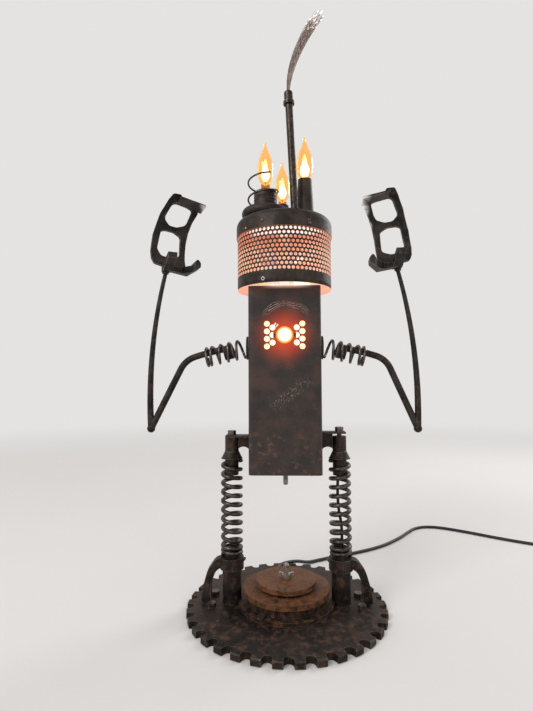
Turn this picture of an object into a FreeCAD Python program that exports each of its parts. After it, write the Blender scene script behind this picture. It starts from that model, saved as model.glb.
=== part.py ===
import FreeCAD, Part
import math
import os
import Sketcher
from FreeCAD import Placement, Rotation, Vector

# A table lamp in the shape of a small robot, put together from machine parts.
# It stands on a toothed wheel. Two coil springs are its legs, a square tube is its body,
# and a perforated drum with three flame lamps and an aerial is its head.
# Lengths are millimetres. The origin is under the middle of the wheel, on the table,
# with +Z up, +X to the lamp's left as seen from the front, and the front facing -Y.

os.makedirs("parts", exist_ok=True)
doc = FreeCAD.newDocument("RobotLamp")

# Driving sizes: name, value, what it is
SIZES = [
    ("WheelTeeth", 34, "teeth round the base wheel"),
    ("WheelRadius", 140.3, "tips of the teeth"),
    ("WheelThick", 9, "thickness of the wheel"),
    ("WheelTurn", 59.25, "angle of one tooth, counted from the front"),
    ("WheelBore", 20, "radius of the wheel's bore"),
    ("ToothDepth", 11, "from a tip to the bottom of a gap"),
    ("GulletRadius", 6, "round bottom of a tooth gap"),
    ("GapFlare", 8, "angle by which a gap opens, each side"),
    ("TipBevel", 1, "bevel round the wheel's edges"),
    ("HubFlangeRadius", 68, "flange that lies on the wheel"),
    ("HubFlangeThick", 5, "thickness of that flange"),
    ("PilotFit", 0.1, "gap round the boss in the wheel's bore"),
    ("HubRadius", 57, "waist of the hub"),
    ("HubWaist", 11, "height of the waist"),
    ("HubWall", 5, "wall of the hollow hub"),
    ("DiscRadius", 61.1, "rusty disc on the hub"),
    ("DiscThick", 7.3, "thickness of the disc"),
    ("CapRadius", 42.3, "raised middle disc"),
    ("CapThick", 6.3, "thickness of the raised disc"),
    ("CapBossRadius", 30, "boss under the raised disc"),
    ("CapGap", 3.7, "height of that boss"),
    ("StudRadius", 4, "stud in the middle of the hub"),
    ("StudTop", 63, "height of the stud's end"),
    ("NutRadius", 6.5, "round middle of the wing nut"),
    ("NutHeight", 6, "height of the wing nut's middle"),
    ("WingReach", 11, "reach of each wing"),
    ("WingRise", 9.5, "height of the wings' tips"),
    ("WingThick", 3, "thickness of a wing"),
    ("RunningFit", 0.05, "radial clearance of what turns"),
    ("FaceGap", 0.3, "gap between faces that move past each other"),
    ("LegGap", 26.9, "from the body's side to the axis of a leg"),
    ("PostRadius", 13.5, "leg post"),
    ("PostTop", 66, "top of the post's thick part"),
    ("SpigotRadius", 9.8, "spigot that the spring grips"),
    ("SpigotTop", 84, "top of the spigot"),
    ("PostBore", 8.6, "radius of the bore of post and spigot"),
    ("RingRadius", 17, "ring of the foot bracket"),
    ("RingBottom", 56, "underside of that ring"),
    ("RingTop", 72, "top of that ring, the spring's seat"),
    ("ArchThick", 10, "thickness of the arched brace"),
    ("ArchWidth", 14, "width of the arched brace"),
    ("ArchInset", 18.3, "foot of the brace, in from the teeth's tips"),
    ("LugReach", 20.2, "tip of the pointed inner lug from the leg's axis"),
    ("LugHeight", 12, "height of the lug at its root"),
    ("BoltFlats", 10.5, "width of a bolt head across its flats"),
    ("BoltHead", 6.5, "height of a bolt head"),
    ("BoltShank", 3.4, "radius of a bolt's shank"),
    ("BoltGrip", 20, "depth of a leg bolt in its sleeve"),
    ("FootBoltSide", 18, "foot bolts' distance from the brace, along Y"),
    ("FootBoltInset", 36.3, "foot bolts, in from the teeth's tips"),
    ("SpringRadius", 13, "leg spring, to the middle of the wire"),
    ("SpringWire", 3, "radius of the leg spring's wire"),
    ("WireSides", 10, "flat sides on each wound wire"),
    ("ClosedTurns", 2, "closed turns at the foot of the spring"),
    ("ClosedGap", 0.55, "gap between closed turns"),
    ("OpenTurns", 9.5, "open turns"),
    ("SpringTop", 208, "middle of the wire at the top end"),
    ("SpringSeat", 0.1, "gap under the spring"),
    ("SleeveRadius", 9.8, "sleeve that hangs in the spring's top"),
    ("SleeveBore", 6, "bore of the sleeve"),
    ("SleeveBottom", 188, "lower end of the sleeve"),
    ("LeftStrap", 242.2, "underside of the left strap"),
    ("RightStrap", 247.2, "underside of the right strap"),
    ("RightSleeveDrop", 4.1, "bare shank between the right sleeve and its strap"),
    ("StrapThick", 2.5, "thickness of the straps"),
    ("StrapWidth", 20, "width of the straps"),
    ("StrapReach", 8.5, "strap past the leg's axis"),
    ("GussetBottom", 221, "lowest point of the gusset by the body"),
    ("GussetArch", 7, "rise of the gusset's arched lower edge"),
    ("GussetThick", 6, "thickness of the gusset"),
    ("BodyWidth", 101.6, "width of the body tube"),
    ("BodyDepth", 76.2, "depth of the body tube"),
    ("BodyWall", 3, "wall of the body tube"),
    ("BodyCorner", 6, "radius of its corners"),
    ("BodyBottom", 194, "lower end of the body"),
    ("BodyTop", 455.5, "upper end of the body"),
    ("PlateThick", 4, "end plates in the body"),
    ("PlateInset", 1, "how far each plate lies inside the tube"),
    ("PlateFit", 0.1, "gap round the end plates"),
    ("RodRadius", 3.5, "tie rod through the body"),
    ("RodBottom", 173.6, "lower end of the tie rod"),
    ("RodNutRadius", 6.5, "nuts of the tie rod, to the corners"),
    ("RodNutHeight", 6, "height of those nuts"),
    ("EyeHeight", 386.4, "middle of the eye lens"),
    ("EyeRadius", 9.8, "eye lens"),
    ("EyeBulge", 4, "how far the lens stands out"),
    ("BezelRadius", 12, "ring round the lens"),
    ("BezelThick", 2.5, "thickness of that ring"),
    ("EyeBarrel", 26, "length of the lamp barrel behind the lens"),
    ("EyeWall", 1.2, "wall of the barrel"),
    ("HoleRadius", 4, "holes in the face"),
    ("HoleHeight", 386.4, "middle of the columns of holes"),
    ("HolePitch", 10.5, "spacing of the holes in a column"),
    ("OuterColumn", 24.6, "outer column of holes, from the middle"),
    ("InnerColumn", 16.8, "inner column of holes, from the middle"),
    ("DrumRadius", 68.4, "outside of the drum's band"),
    ("DrumWall", 1.5, "sheet of band and cap"),
    ("DrumBottom", 454.6, "lower rim of the drum"),
    ("BandTop", 546, "top of the band, inside the cap"),
    ("SkirtBottom", 530.5, "lower rim of the cap"),
    ("DrumTop", 557, "top of the cap"),
    ("ShoulderRound", 11, "rounded edge of the cap"),
    ("SheetFit", 0.05, "gap between band and cap"),
    ("PipeRadius", 7, "pipe that carries the cap"),
    ("PipeFlange", 19, "flange at the pipe's top"),
    ("FlangeThick", 3, "thickness of that flange"),
    ("InnerLampX", 26, "lamp inside the drum, to the side"),
    ("InnerSocketRadius", 12, "its socket"),
    ("InnerSocketTall", 24, "height of that socket"),
    ("InnerBulbRadius", 13, "its round bulb"),
    ("CandleTop", 609, "top of the two plain candle tubes"),
    ("CandleBase", 12.6, "foot of a candle tube"),
    ("CandleTip", 9.8, "top of a candle tube"),
    ("CandleBore", 7.8, "bore of a candle tube"),
    ("RightCandleX", 30.2, "right candle, to the side"),
    ("RightCandleY", -28, "right candle, front to back"),
    ("MiddleCandleX", -2, "rear candle, to the side"),
    ("MiddleCandleY", 43.5, "rear candle, front to back"),
    ("LeftCandleX", -26.5, "left candle, to the side"),
    ("LeftCandleY", -15, "left candle, front to back"),
    ("KnobRadius", 34.5, "rounded disc under the left candle"),
    ("KnobThick", 21, "thickness of that disc"),
    ("CupRadius", 17, "ribbed cup of the left candle"),
    ("CupTop", 603, "top of the cup"),
    ("CupRibs", 5, "ribs round the cup"),
    ("CupRibDepth", 1, "depth of the grooves between the ribs"),
    ("BulbRadius", 12.2, "widest part of a flame bulb"),
    ("BulbTall", 62.5, "bulb above its candle"),
    ("BulbNeck", 6.5, "neck of the bulb"),
    ("BulbSink", 8, "depth of the neck in its candle"),
    ("BulbGlass", 0.8, "thickness of the glass"),
    ("BulbBase", 16.5, "length of the screw base"),
    ("FlameRadius", 6.5, "widest part of the glowing flame plate"),
    ("FlameTall", 37, "tip of the flame plate above the candle"),
    ("CoilRadius", 22, "wire coil round the cup"),
    ("CoilWire", 1.3, "radius of that wire"),
    ("CoilOffset", 3.1, "coil's axis to the side of the cup's"),
    ("CoilPitch", 26, "rise of one turn"),
    ("CoilTurns", 2, "turns of the wire coil"),
    ("AerialRadius", 5.2, "aerial tube"),
    ("AerialBore", 3.6, "bore of the aerial"),
    ("AerialX", 15.1, "foot of the aerial, to the side"),
    ("AerialY", -49, "foot of the aerial, front to back"),
    ("AerialLong", 155, "length of the aerial tube"),
    ("AerialLean", 2.65, "lean of the aerial to the side, degrees"),
    ("AerialRing", 7.8, "ring at the aerial's top"),
    ("AerialRingThick", 4, "thickness of that ring"),
    ("NozzleRadius", 6.1, "rounded nozzle on the aerial"),
    ("NozzleLong", 15, "length of the nozzle"),
    ("TuftRadius", 2.4, "fibre tuft where it leaves the nozzle"),
    ("TuftSpread", 8, "fibre tuft at its end"),
    ("TuftTall", 116, "height of the tuft"),
    ("TuftBend", 38, "how far the tuft bends to the side"),
    ("ShoulderHeight", 371, "middle of the shoulder flanges"),
    ("ShoulderRadius", 17, "shoulder flange"),
    ("ShoulderThick", 4.8, "thickness of that flange"),
    ("ShoulderDroop", 12.5, "droop of the shoulder springs, degrees"),
    ("ArmSpringRadius", 13, "shoulder spring, to the middle of the wire"),
    ("ArmSpringWire", 2, "radius of that wire"),
    ("ArmSpringTurns", 4, "open turns of that spring"),
    ("ArmSpringPitch", 12.7, "spacing of the open turns"),
    ("ArmEndTurns", 1.25, "tight turns at the outer end"),
    ("ArmEndPitch", 4.6, "spacing of the tight turns"),
    ("ArmPlugStart", 21, "inner face of the plug, along the spring"),
    ("ArmPlugLong", 13, "length of the plug"),
    ("ArmPlugRadius", 10.7, "plug in the spring"),
    ("ArmRadius", 4.75, "arm rod"),
    ("ArmRise", 6, "rod above the spring's axis"),
    ("WristRadius", 2.9, "thin end of the forearm"),
    ("WristZ", 487, "height of the wrists"),
    ("ElbowZ", 254, "height of the elbows"),
    ("RightWristX", 165, "right wrist, to the side"),
    ("RightElbowX", 190, "right elbow, to the side"),
    ("LeftWristX", 176, "left wrist, to the side"),
    ("LeftElbowX", 196.5, "left elbow, to the side"),
    ("ForearmBow", 9, "how far a forearm bows out"),
    ("RightHandTurn", 5, "right hand turned towards the head, degrees"),
    ("LeftHandTurn", 26, "left hand turned towards the head, degrees"),
    ("HandTall", 109.5, "height of the hand's plate"),
    ("HandThick", 6, "thickness of the hand's plate"),
    ("HandBow", 75, "radius that the hand's plate is bowed to"),
    ("HandBack", 10, "how far the plate bows behind the wrist"),
    ("HandReach", 38, "how far the hand's bar and hook stand forward"),
    ("HandWindowRound", 7, "rounding of the hand's windows"),
    ("CordRadius", 2.75, "flexible cord"),
    ("CordLift", 0.15, "gap under the cord"),
    ("ReliefX", -12, "strain relief, to the side"),
    ("ReliefLong", 30, "length of the strain relief"),
    ("ReliefRadius", 4.6, "strain relief at the hub"),
    ("ReliefHeight", 19.5, "strain relief, height"),
    ("WireRadius", 2.1, "wire up the right leg"),
    ("LoopStep", 7, "spacing of the cord coil's loops"),
    ("LoopRise", 6.5, "rise from one layer of loops to the next"),
    ("LoopMiddle", 32.5, "middle radius of the cord coil"),
    ("LoopTurns", 2.25, "loops in each layer of the cord coil"),
    ("CoilLead", 40, "straight cord on each side of the coil"),
    ("SwitchLong", 56, "inline switch"),
    ("SwitchWide", 26, "width of the switch"),
    ("SwitchTall", 18, "height of the switch"),
    ("RockerLong", 15, "rocker of the switch"),
    ("RockerWide", 9, "width of the rocker"),
    ("PlugLong", 30, "plug body"),
    ("PlugWide", 26, "width of the plug"),
    ("PlugTall", 18.4, "height of the plug"),
    ("BladeLong", 17.5, "blades of the plug"),
    ("BladeSpacing", 12.7, "distance between the blades"),
    ("BladeWide", 6.3, "width of a blade"),
    ("BladeThick", 1.5, "thickness of a blade"),
]

sheet = doc.addObject("Spreadsheet::Sheet", "Sizes")
for row, (name, value, meaning) in enumerate(SIZES, start=1):
    sheet.set("A%d" % row, meaning)
    sheet.set("B%d" % row, str(value))
    sheet.setAlias("B%d" % row, name)
doc.recompute()

NODES = []


def size(name):
    """One driving size, read from the sheet."""
    return float(sheet.get(name))


def node(label, item):
    """Marks a document object as one sub-part, whose label names its file."""
    item.Label = label
    NODES.append(item)
    return item


def bind(item, **expressions):
    """Binds properties to expressions on the sheet; an underscore stands for a dot."""
    for key, expression in expressions.items():
        item.setExpression(key.replace("_", "."), expression)
    return item


def place(item, x="0", y="0", z="0"):
    """Binds an object's position to expressions on the sheet."""
    item.setExpression("Placement.Base.x", x)
    item.setExpression("Placement.Base.y", y)
    item.setExpression("Placement.Base.z", z)
    return item


def cylinder(name, radius, height, x="0", y="0", z="0"):
    """A round bar that stands at x, y, z; every size is an expression."""
    bar = bind(doc.addObject("Part::Cylinder", name), Radius=radius, Height=height)
    return place(bar, x, y, z)


def cone(name, lower, upper, height, x="0", y="0", z="0"):
    """A tapered round bar that stands at x, y, z."""
    taper = doc.addObject("Part::Cone", name)
    bind(taper, Radius1=lower, Radius2=upper, Height=height)
    return place(taper, x, y, z)


def cut(name, base, tool):
    """One object less another."""
    result = doc.addObject("Part::Cut", name)
    result.Base = base
    result.Tool = tool
    return result


def fuse(name, *items):
    """Several objects as one solid."""
    result = doc.addObject("Part::MultiFuse", name)
    result.Shapes = list(items)
    return result


def feature(label, shape, placement=None):
    """A sub-part whose shape is made directly, with its placement set after the shape."""
    item = doc.addObject("Part::Feature", label)
    item.Shape = shape
    if placement is not None:
        item.Placement = placement
    return node(label, item)


def turned(profile):
    """The solid that a closed profile of (radius, height) points makes round the Z axis."""
    points = [Vector(radius, 0, height) for radius, height in profile]
    wire = Part.makePolygon(points + points[:1])
    return Part.Face(wire).revolve(Vector(), Vector(0, 0, 1), 360)


def arc_edge(start, tangent, end):
    """The arc from start to end that leaves start along the tangent."""
    chord = end.sub(start)
    across = chord.sub(tangent * chord.dot(tangent))
    if across.Length < 1e-6 * chord.Length:
        return Part.LineSegment(start, end).toShape()
    half = tangent.getAngle(chord)
    radius = chord.Length / (2 * math.sin(half))
    across.normalize()
    middle = start + tangent * (radius * math.sin(half)) + across * (radius * (1 - math.cos(half)))
    return Part.Arc(start, middle, end).toShape()


def biarc(start, leaving, end, arriving):
    """Two arcs that join two places smoothly, with a given direction at each."""
    span = end.sub(start)
    both = leaving + arriving
    bend = 2 * (leaving.dot(arriving) - 1)
    reach = span.dot(both)
    if abs(bend) < 1e-9:
        step = span.dot(span) / (2 * reach)
    else:
        step = (reach - math.sqrt(reach * reach - bend * span.dot(span))) / bend
    joint = (start + leaving * step + end - arriving * step) * 0.5
    first = arc_edge(start, leaving, joint)
    second = arc_edge(end, arriving * -1, joint)
    return [first, second]


def curve_edges(place_at, first, last, pieces):
    """Biarcs along the curve place_at(value), from first to last in equal steps."""
    def heading(value):
        nudge = (last - first) * 1e-5
        return place_at(value + nudge).sub(place_at(value - nudge)).normalize()

    edges = []
    for index in range(pieces):
        here = first + (last - first) * index / pieces
        there = first + (last - first) * (index + 1) / pieces
        edges += biarc(place_at(here), heading(here), place_at(there), heading(there))
    return edges


def bent_edges(points, corner_radius=None):
    """Straight runs joined by tangent arcs, each arc as large as its two runs allow."""
    edges = []
    radii = []
    start = points[0]
    for before, corner, after in zip(points, points[1:], points[2:]):
        inward = corner.sub(before)
        outward = after.sub(corner)
        turn = inward.getAngle(outward)
        shorter = min(inward.Length, outward.Length)
        radius = 0.45 * shorter / math.tan(turn / 2)
        if corner_radius is not None:
            radius = min(radius, corner_radius)
        radii.append(radius)
        setback = radius * math.tan(turn / 2)
        inward.normalize()
        outward.normalize()
        entry = corner - inward * setback
        leave = corner + outward * setback
        edges.append(Part.LineSegment(start, entry).toShape())
        edges.append(arc_edge(entry, inward, leave))
        start = leave
    edges.append(Part.LineSegment(start, points[-1]).toShape())
    return edges, radii


def rounded_face(points, radius):
    """A flat face inside a closed outline whose corners are all rounded by one radius."""
    middle = (points[0] + points[-1]) * 0.5
    edges, radii = bent_edges([middle] + points + [middle], radius)
    return Part.Face(Part.Wire(edges))


def tube(edges, radius, sides=0):
    """A round wire along joined edges, or one with flat sides where a count is given."""
    path = Part.Wire(edges)
    first = edges[0]
    start = first.valueAt(first.FirstParameter)
    heading = first.tangentAt(first.FirstParameter)
    circle = Part.Circle(start, heading, radius)
    section = math.pi * radius * radius
    ring = Part.Wire(circle.toShape())
    if sides:
        section = sides / 2 * radius * radius * math.sin(2 * math.pi / sides)
        corners = [circle.value(2 * math.pi * index / sides) for index in range(sides)]
        ring = Part.makePolygon(corners + corners[:1])
    solid = path.makePipeShell([ring], True, False)
    print("tube: volume %.0f, section times length %.0f" % (solid.Volume, section * path.Length))
    return solid


def least_gap(edges, radius, apart):
    """The least clear gap between stretches of a tube that are some length apart on it."""
    path = Part.Wire(edges)
    places = path.discretize(Distance=radius * 0.5)
    skip = int(apart / (radius * 0.5))
    least = 1e9
    for index, here in enumerate(places):
        for there in places[index + skip:]:
            least = min(least, here.distanceToPoint(there))
    return least - 2 * radius


def base_wheel():
    """The toothed wheel: a bevelled disc, its bore, and one tooth gap repeated all round."""
    body = doc.addObject("PartDesign::Body", "BaseWheel")
    flat = [item for item in body.Origin.OriginFeatures if item.Role == "XY_Plane"][0]

    outline = body.newObject("Sketcher::SketchObject", "WheelOutline")
    outline.AttachmentSupport = (flat, "")
    outline.MapMode = "FlatFace"
    for alias, radius in (("WheelRadius", 140), ("WheelBore", 20)):
        circle = outline.addGeometry(Part.Circle(Vector(), Vector(0, 0, 1), radius), False)
        outline.addConstraint(Sketcher.Constraint("Coincident", circle, 3, -1, 1))
        rule = outline.addConstraint(Sketcher.Constraint("Radius", circle, radius))
        outline.setExpression("Constraints[%d]" % rule, "Sizes." + alias)
    disc = body.newObject("PartDesign::Pad", "WheelDisc")
    disc.Profile = outline
    disc.setExpression("Length", "Sizes.WheelThick")
    doc.recompute()

    rims = []
    for index, edge in enumerate(disc.Shape.Edges, start=1):
        if abs(edge.BoundBox.XLength - 2 * size("WheelRadius")) < 0.1:
            rims.append("Edge%d" % index)
    bevel = body.newObject("PartDesign::Chamfer", "WheelBevel")
    bevel.Base = (disc, rims)
    bevel.setExpression("Size", "Sizes.TipBevel")
    doc.recompute()

    gap = body.newObject("Sketcher::SketchObject", "ToothGap")
    gap.AttachmentSupport = (flat, "")
    gap.MapMode = "FlatFace"
    gullet = size("GulletRadius")
    middle = size("WheelRadius") - size("ToothDepth") + gullet
    far = size("WheelRadius") + gullet
    flare = math.radians(size("GapFlare"))
    side = gullet * math.cos(flare)
    deep = middle - gullet * math.sin(flare)
    mouth = side + (far - deep) * math.tan(flare)
    turn = Rotation(Vector(0, 0, 1), size("WheelTurn") - 90 + 180 / size("WheelTeeth"))
    corners = [Vector(deep, -side, 0), Vector(far, -mouth, 0), Vector(far, mouth, 0), Vector(deep, side, 0)]
    corners = [turn.multVec(corner) for corner in corners]
    bottom = turn.multVec(Vector(middle - gullet, 0, 0))
    for start, end in zip(corners, corners[1:]):
        gap.addGeometry(Part.LineSegment(start, end), False)
    gap.addGeometry(Part.Arc(corners[3], bottom, corners[0]), False)
    notch = body.newObject("PartDesign::Pocket", "ToothNotch")
    notch.Profile = gap
    notch.Type = "ThroughAll"
    notch.Midplane = True
    doc.recompute()

    ring = body.newObject("PartDesign::PolarPattern", "ToothRing")
    ring.Originals = [notch]
    ring.Axis = (outline, ["N_Axis"])
    ring.Angle = 360
    ring.setExpression("Occurrences", "Sizes.WheelTeeth")
    body.Tip = ring
    node("base_sprocket", body)


def hub():
    """The hub on the wheel: a hollow waisted casting, a disc, a raised middle and a stud."""
    floor = "Sizes.WheelThick"
    waist_top = "Sizes.WheelThick + Sizes.HubFlangeThick + Sizes.HubWaist"
    disc_top = waist_top + " + Sizes.DiscThick"
    cap_seat = disc_top + " + Sizes.CapGap"
    flange = cylinder("HubFlange", "Sizes.HubFlangeRadius", "Sizes.HubFlangeThick", z=floor)
    waist = cylinder("HubWaistBar", "Sizes.HubRadius", "Sizes.HubFlangeThick + Sizes.HubWaist",
                     z=floor)
    hollow = cylinder("HubHollow", "Sizes.HubRadius - Sizes.HubWall",
                      "Sizes.HubWaist + Sizes.HubFlangeThick - Sizes.HubWall",
                      z=floor + " + Sizes.HubWall")
    socket = cylinder("HubSocket", "Sizes.StudRadius", "Sizes.HubWall", z=floor)
    boss = cylinder("HubPilot", "Sizes.WheelBore - Sizes.PilotFit", floor)
    shell = cut("HubShell", fuse("HubBlank", flange, waist, boss), hollow)
    node("hub_drum", cut("HubDrum", shell, socket))

    disc = cylinder("DiscBlank", "Sizes.DiscRadius", "Sizes.DiscThick", z=waist_top)
    bore = cylinder("DiscHole", "Sizes.StudRadius", "Sizes.DiscThick", z=waist_top)
    node("hub_disc", cut("HubDisc", disc, bore))

    step = cylinder("CapBoss", "Sizes.CapBossRadius", "Sizes.CapGap", z=disc_top)
    plate = cylinder("CapPlate", "Sizes.CapRadius", "Sizes.CapThick", z=cap_seat)
    hole = cylinder("CapHole", "Sizes.StudRadius", "Sizes.CapGap + Sizes.CapThick", z=disc_top)
    node("hub_cap", cut("HubCap", fuse("CapBlank", step, plate), hole))

    stem = cylinder("StudStem", "Sizes.StudRadius",
                    "Sizes.StudTop - Sizes.WheelThick - Sizes.StudRadius / 2", z=floor)
    tip = cone("StudTip", "Sizes.StudRadius", "Sizes.StudRadius * 0.6", "Sizes.StudRadius / 2",
               z="Sizes.StudTop - Sizes.StudRadius / 2")
    node("hub_stud", fuse("HubStud", stem, tip))


def cap_height():
    """The top of the raised middle disc of the hub."""
    names = ("WheelThick", "HubFlangeThick", "HubWaist", "DiscThick", "CapGap", "CapThick")
    return sum(size(name) for name in names)


def wing_nut():
    """The wing nut on the stud: a round middle with two rounded wings."""
    seat = cap_height() + size("FaceGap")
    middle = Part.makeCylinder(size("NutRadius"), size("NutHeight"), Vector(0, 0, seat))
    reach = size("WingReach")
    rise = size("WingRise")
    root = size("NutRadius") * 0.6
    half = size("WingThick") / 2
    shape = middle
    for side in (-1, 1):
        corners = [Vector(side * root, -half, seat + 1),
                   Vector(side * reach, -half, seat + rise * 0.35),
                   Vector(side * (reach - 1), -half, seat + rise),
                   Vector(side * root, -half, seat + size("NutHeight"))]
        wing = rounded_face(corners, 2).extrude(Vector(0, 2 * half, 0))
        shape = shape.fuse(wing)
    bore = Part.makeCylinder(size("StudRadius") + size("RunningFit"), 4 * rise, Vector(0, 0, seat - rise))
    feature("wing_nut", shape.cut(bore).removeSplitter())


def leg_axis():
    """How far the axis of a leg is from the middle."""
    return size("BodyWidth") / 2 + size("LegGap")


def leg_post(label, side):
    """A hollow leg post on the wheel, with a thinner spigot for the spring."""
    x = side * leg_axis()
    low = size("WheelThick")
    thick = Part.makeCylinder(size("PostRadius"), size("PostTop") - low, Vector(x, 0, low))
    spigot = Part.makeCylinder(size("SpigotRadius"), size("SpigotTop") - low, Vector(x, 0, low))
    bore = Part.makeCylinder(size("PostBore"), size("SpigotTop"), Vector(x, 0, low))
    flange_cut = Part.makeCylinder(size("HubFlangeRadius") + size("PlateFit"), size("HubFlangeThick"),
                                   Vector(0, 0, low))
    disc_cut = Part.makeCylinder(size("DiscRadius") + size("PlateFit"), size("PostTop"), Vector(0, 0, low))
    post = thick.fuse(spigot).cut(bore).cut(flange_cut).cut(disc_cut)
    feature(label, post.removeSplitter())


def foot_bracket(label, side):
    """The ring round a post with its arched brace down to the wheel and its pointed lug."""
    x = leg_axis()
    low = size("RingBottom")
    top = size("RingTop")
    width = size("ArchWidth")
    ring = Part.makeCylinder(size("RingRadius"), top - low, Vector(x, 0, low))
    foot = size("WheelRadius") - size("ArchInset")
    thick = size("ArchThick")
    floor = size("WheelThick")
    root = x + size("SpigotRadius")
    span = foot - root
    under = foot - thick
    outer = [Vector(root, 0, top), Vector(root + 0.38 * span, 0, top - 2),
             Vector(foot - 0.29 * span, 0, top - 18), Vector(foot - 0.12 * span, 0, top - 38),
             Vector(foot, 0, floor)]
    inner = [Vector(under - 0.12 * span, 0, floor), Vector(under - 0.15 * span, 0, top - 36),
             Vector(under - 0.35 * span, 0, top - 18), Vector(root + 0.06 * span, 0, top - thick - 2),
             Vector(root - 2, 0, top - thick)]
    brace = rounded_face(outer + inner, 16).extrude(Vector(0, width, 0))
    brace.translate(Vector(0, -width / 2, 0))
    lug_top = Vector(x - size("SpigotRadius"), 0, top)
    lug = Part.Face(Part.makePolygon([
        lug_top, Vector(x - size("LugReach"), 0, top - 3),
        Vector(x - size("SpigotRadius"), 0, top - 3 - size("LugHeight")), lug_top]))
    lug = lug.extrude(Vector(0, width * 0.5, 0))
    lug.translate(Vector(0, -width * 0.25, 0))
    shape = ring.fuse([brace, lug])
    shape = shape.cut(Part.makeCylinder(size("PostRadius"), size("PostTop") - low, Vector(x, 0, low)))
    shape = shape.cut(Part.makeCylinder(size("SpigotRadius"), top, Vector(x, 0, low)))
    if side < 0:
        shape = shape.mirror(Vector(), Vector(1, 0, 0))
    feature(label, shape.removeSplitter())


def hexagon(flats, height, place_at):
    """A hexagon bar that stands at a place."""
    corner = flats / math.sqrt(3)
    angles = [math.radians(60 * index) for index in range(7)]
    ring = [Vector(corner * math.cos(angle), corner * math.sin(angle), 0) for angle in angles]
    bar = Part.Face(Part.makePolygon(ring)).extrude(Vector(0, 0, height))
    bar.translate(place_at)
    return bar


def foot_bolts():
    """Two hexagon bolts beside each brace, down on the wheel."""
    heads = []
    for side in (-1, 1):
        for along in (-1, 1):
            x = side * (size("WheelRadius") - size("FootBoltInset"))
            spot = Vector(x, along * size("FootBoltSide"), size("WheelThick"))
            heads.append(hexagon(size("BoltFlats"), size("BoltHead"), spot))
    feature("foot_bolts", Part.makeCompound(heads))


def leg_spring(label, side):
    """A leg spring: closed turns at its foot, open turns above, as one unbroken wire."""
    x = side * leg_axis()
    radius = size("SpringRadius")
    wire = size("SpringWire")
    low = size("RingTop") + size("SpringSeat") + wire
    closed = size("ClosedTurns")
    closed_pitch = 2 * wire + size("ClosedGap")
    total = closed + size("OpenTurns")
    open_pitch = (size("SpringTop") - low - closed * closed_pitch) / size("OpenTurns")

    def place_at(turn):
        height = low + min(turn, closed) * closed_pitch + max(turn - closed, 0) * open_pitch
        angle = 2 * math.pi * turn
        return Vector(x + side * radius * math.cos(angle), radius * math.sin(angle), height)

    edges = curve_edges(place_at, 0, closed, int(closed * 4))
    edges += curve_edges(place_at, closed, total, int(size("OpenTurns") * 4))
    print(label, "least gap to itself %.2f" % least_gap(edges, wire, 3 * math.pi * radius / 2))
    feature(label, tube(edges, wire, int(size("WireSides"))))


def spring_gap_height(near):
    """The middle of the gap between open turns that faces the body, nearest to a height."""
    wire = size("SpringWire")
    low = size("RingTop") + size("SpringSeat") + wire
    closed = size("ClosedTurns")
    closed_pitch = 2 * wire + size("ClosedGap")
    start = low + closed * closed_pitch
    pitch = (size("SpringTop") - start) / size("OpenTurns")
    return start + pitch * round((near - start) / pitch)


def leg_wire():
    """The wire that runs up inside the right leg spring and out between two turns."""
    x = leg_axis()
    wire = size("WireRadius")
    level = spring_gap_height(size("SleeveBottom") - 8)
    inner = x + size("SpringRadius") - size("SpringWire") - wire - 2
    plate = size("BodyBottom") + size("PlateInset")
    enter = size("BodyWidth") / 2 - size("BodyWall") - wire - 2
    points = [Vector(x + 2, 0, size("SpigotTop") - 12), Vector(x + 2, 0, size("SpigotTop") + 14),
              Vector(inner, 0, level - 34), Vector(inner, 0, level), Vector(enter, 0, level),
              Vector(enter, 0, plate)]
    edges, radii = bent_edges(points, 13.3)
    print("leg_wire radii", [round(radius, 1) for radius in radii])
    feature("leg_wire", tube(edges, wire))


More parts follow.
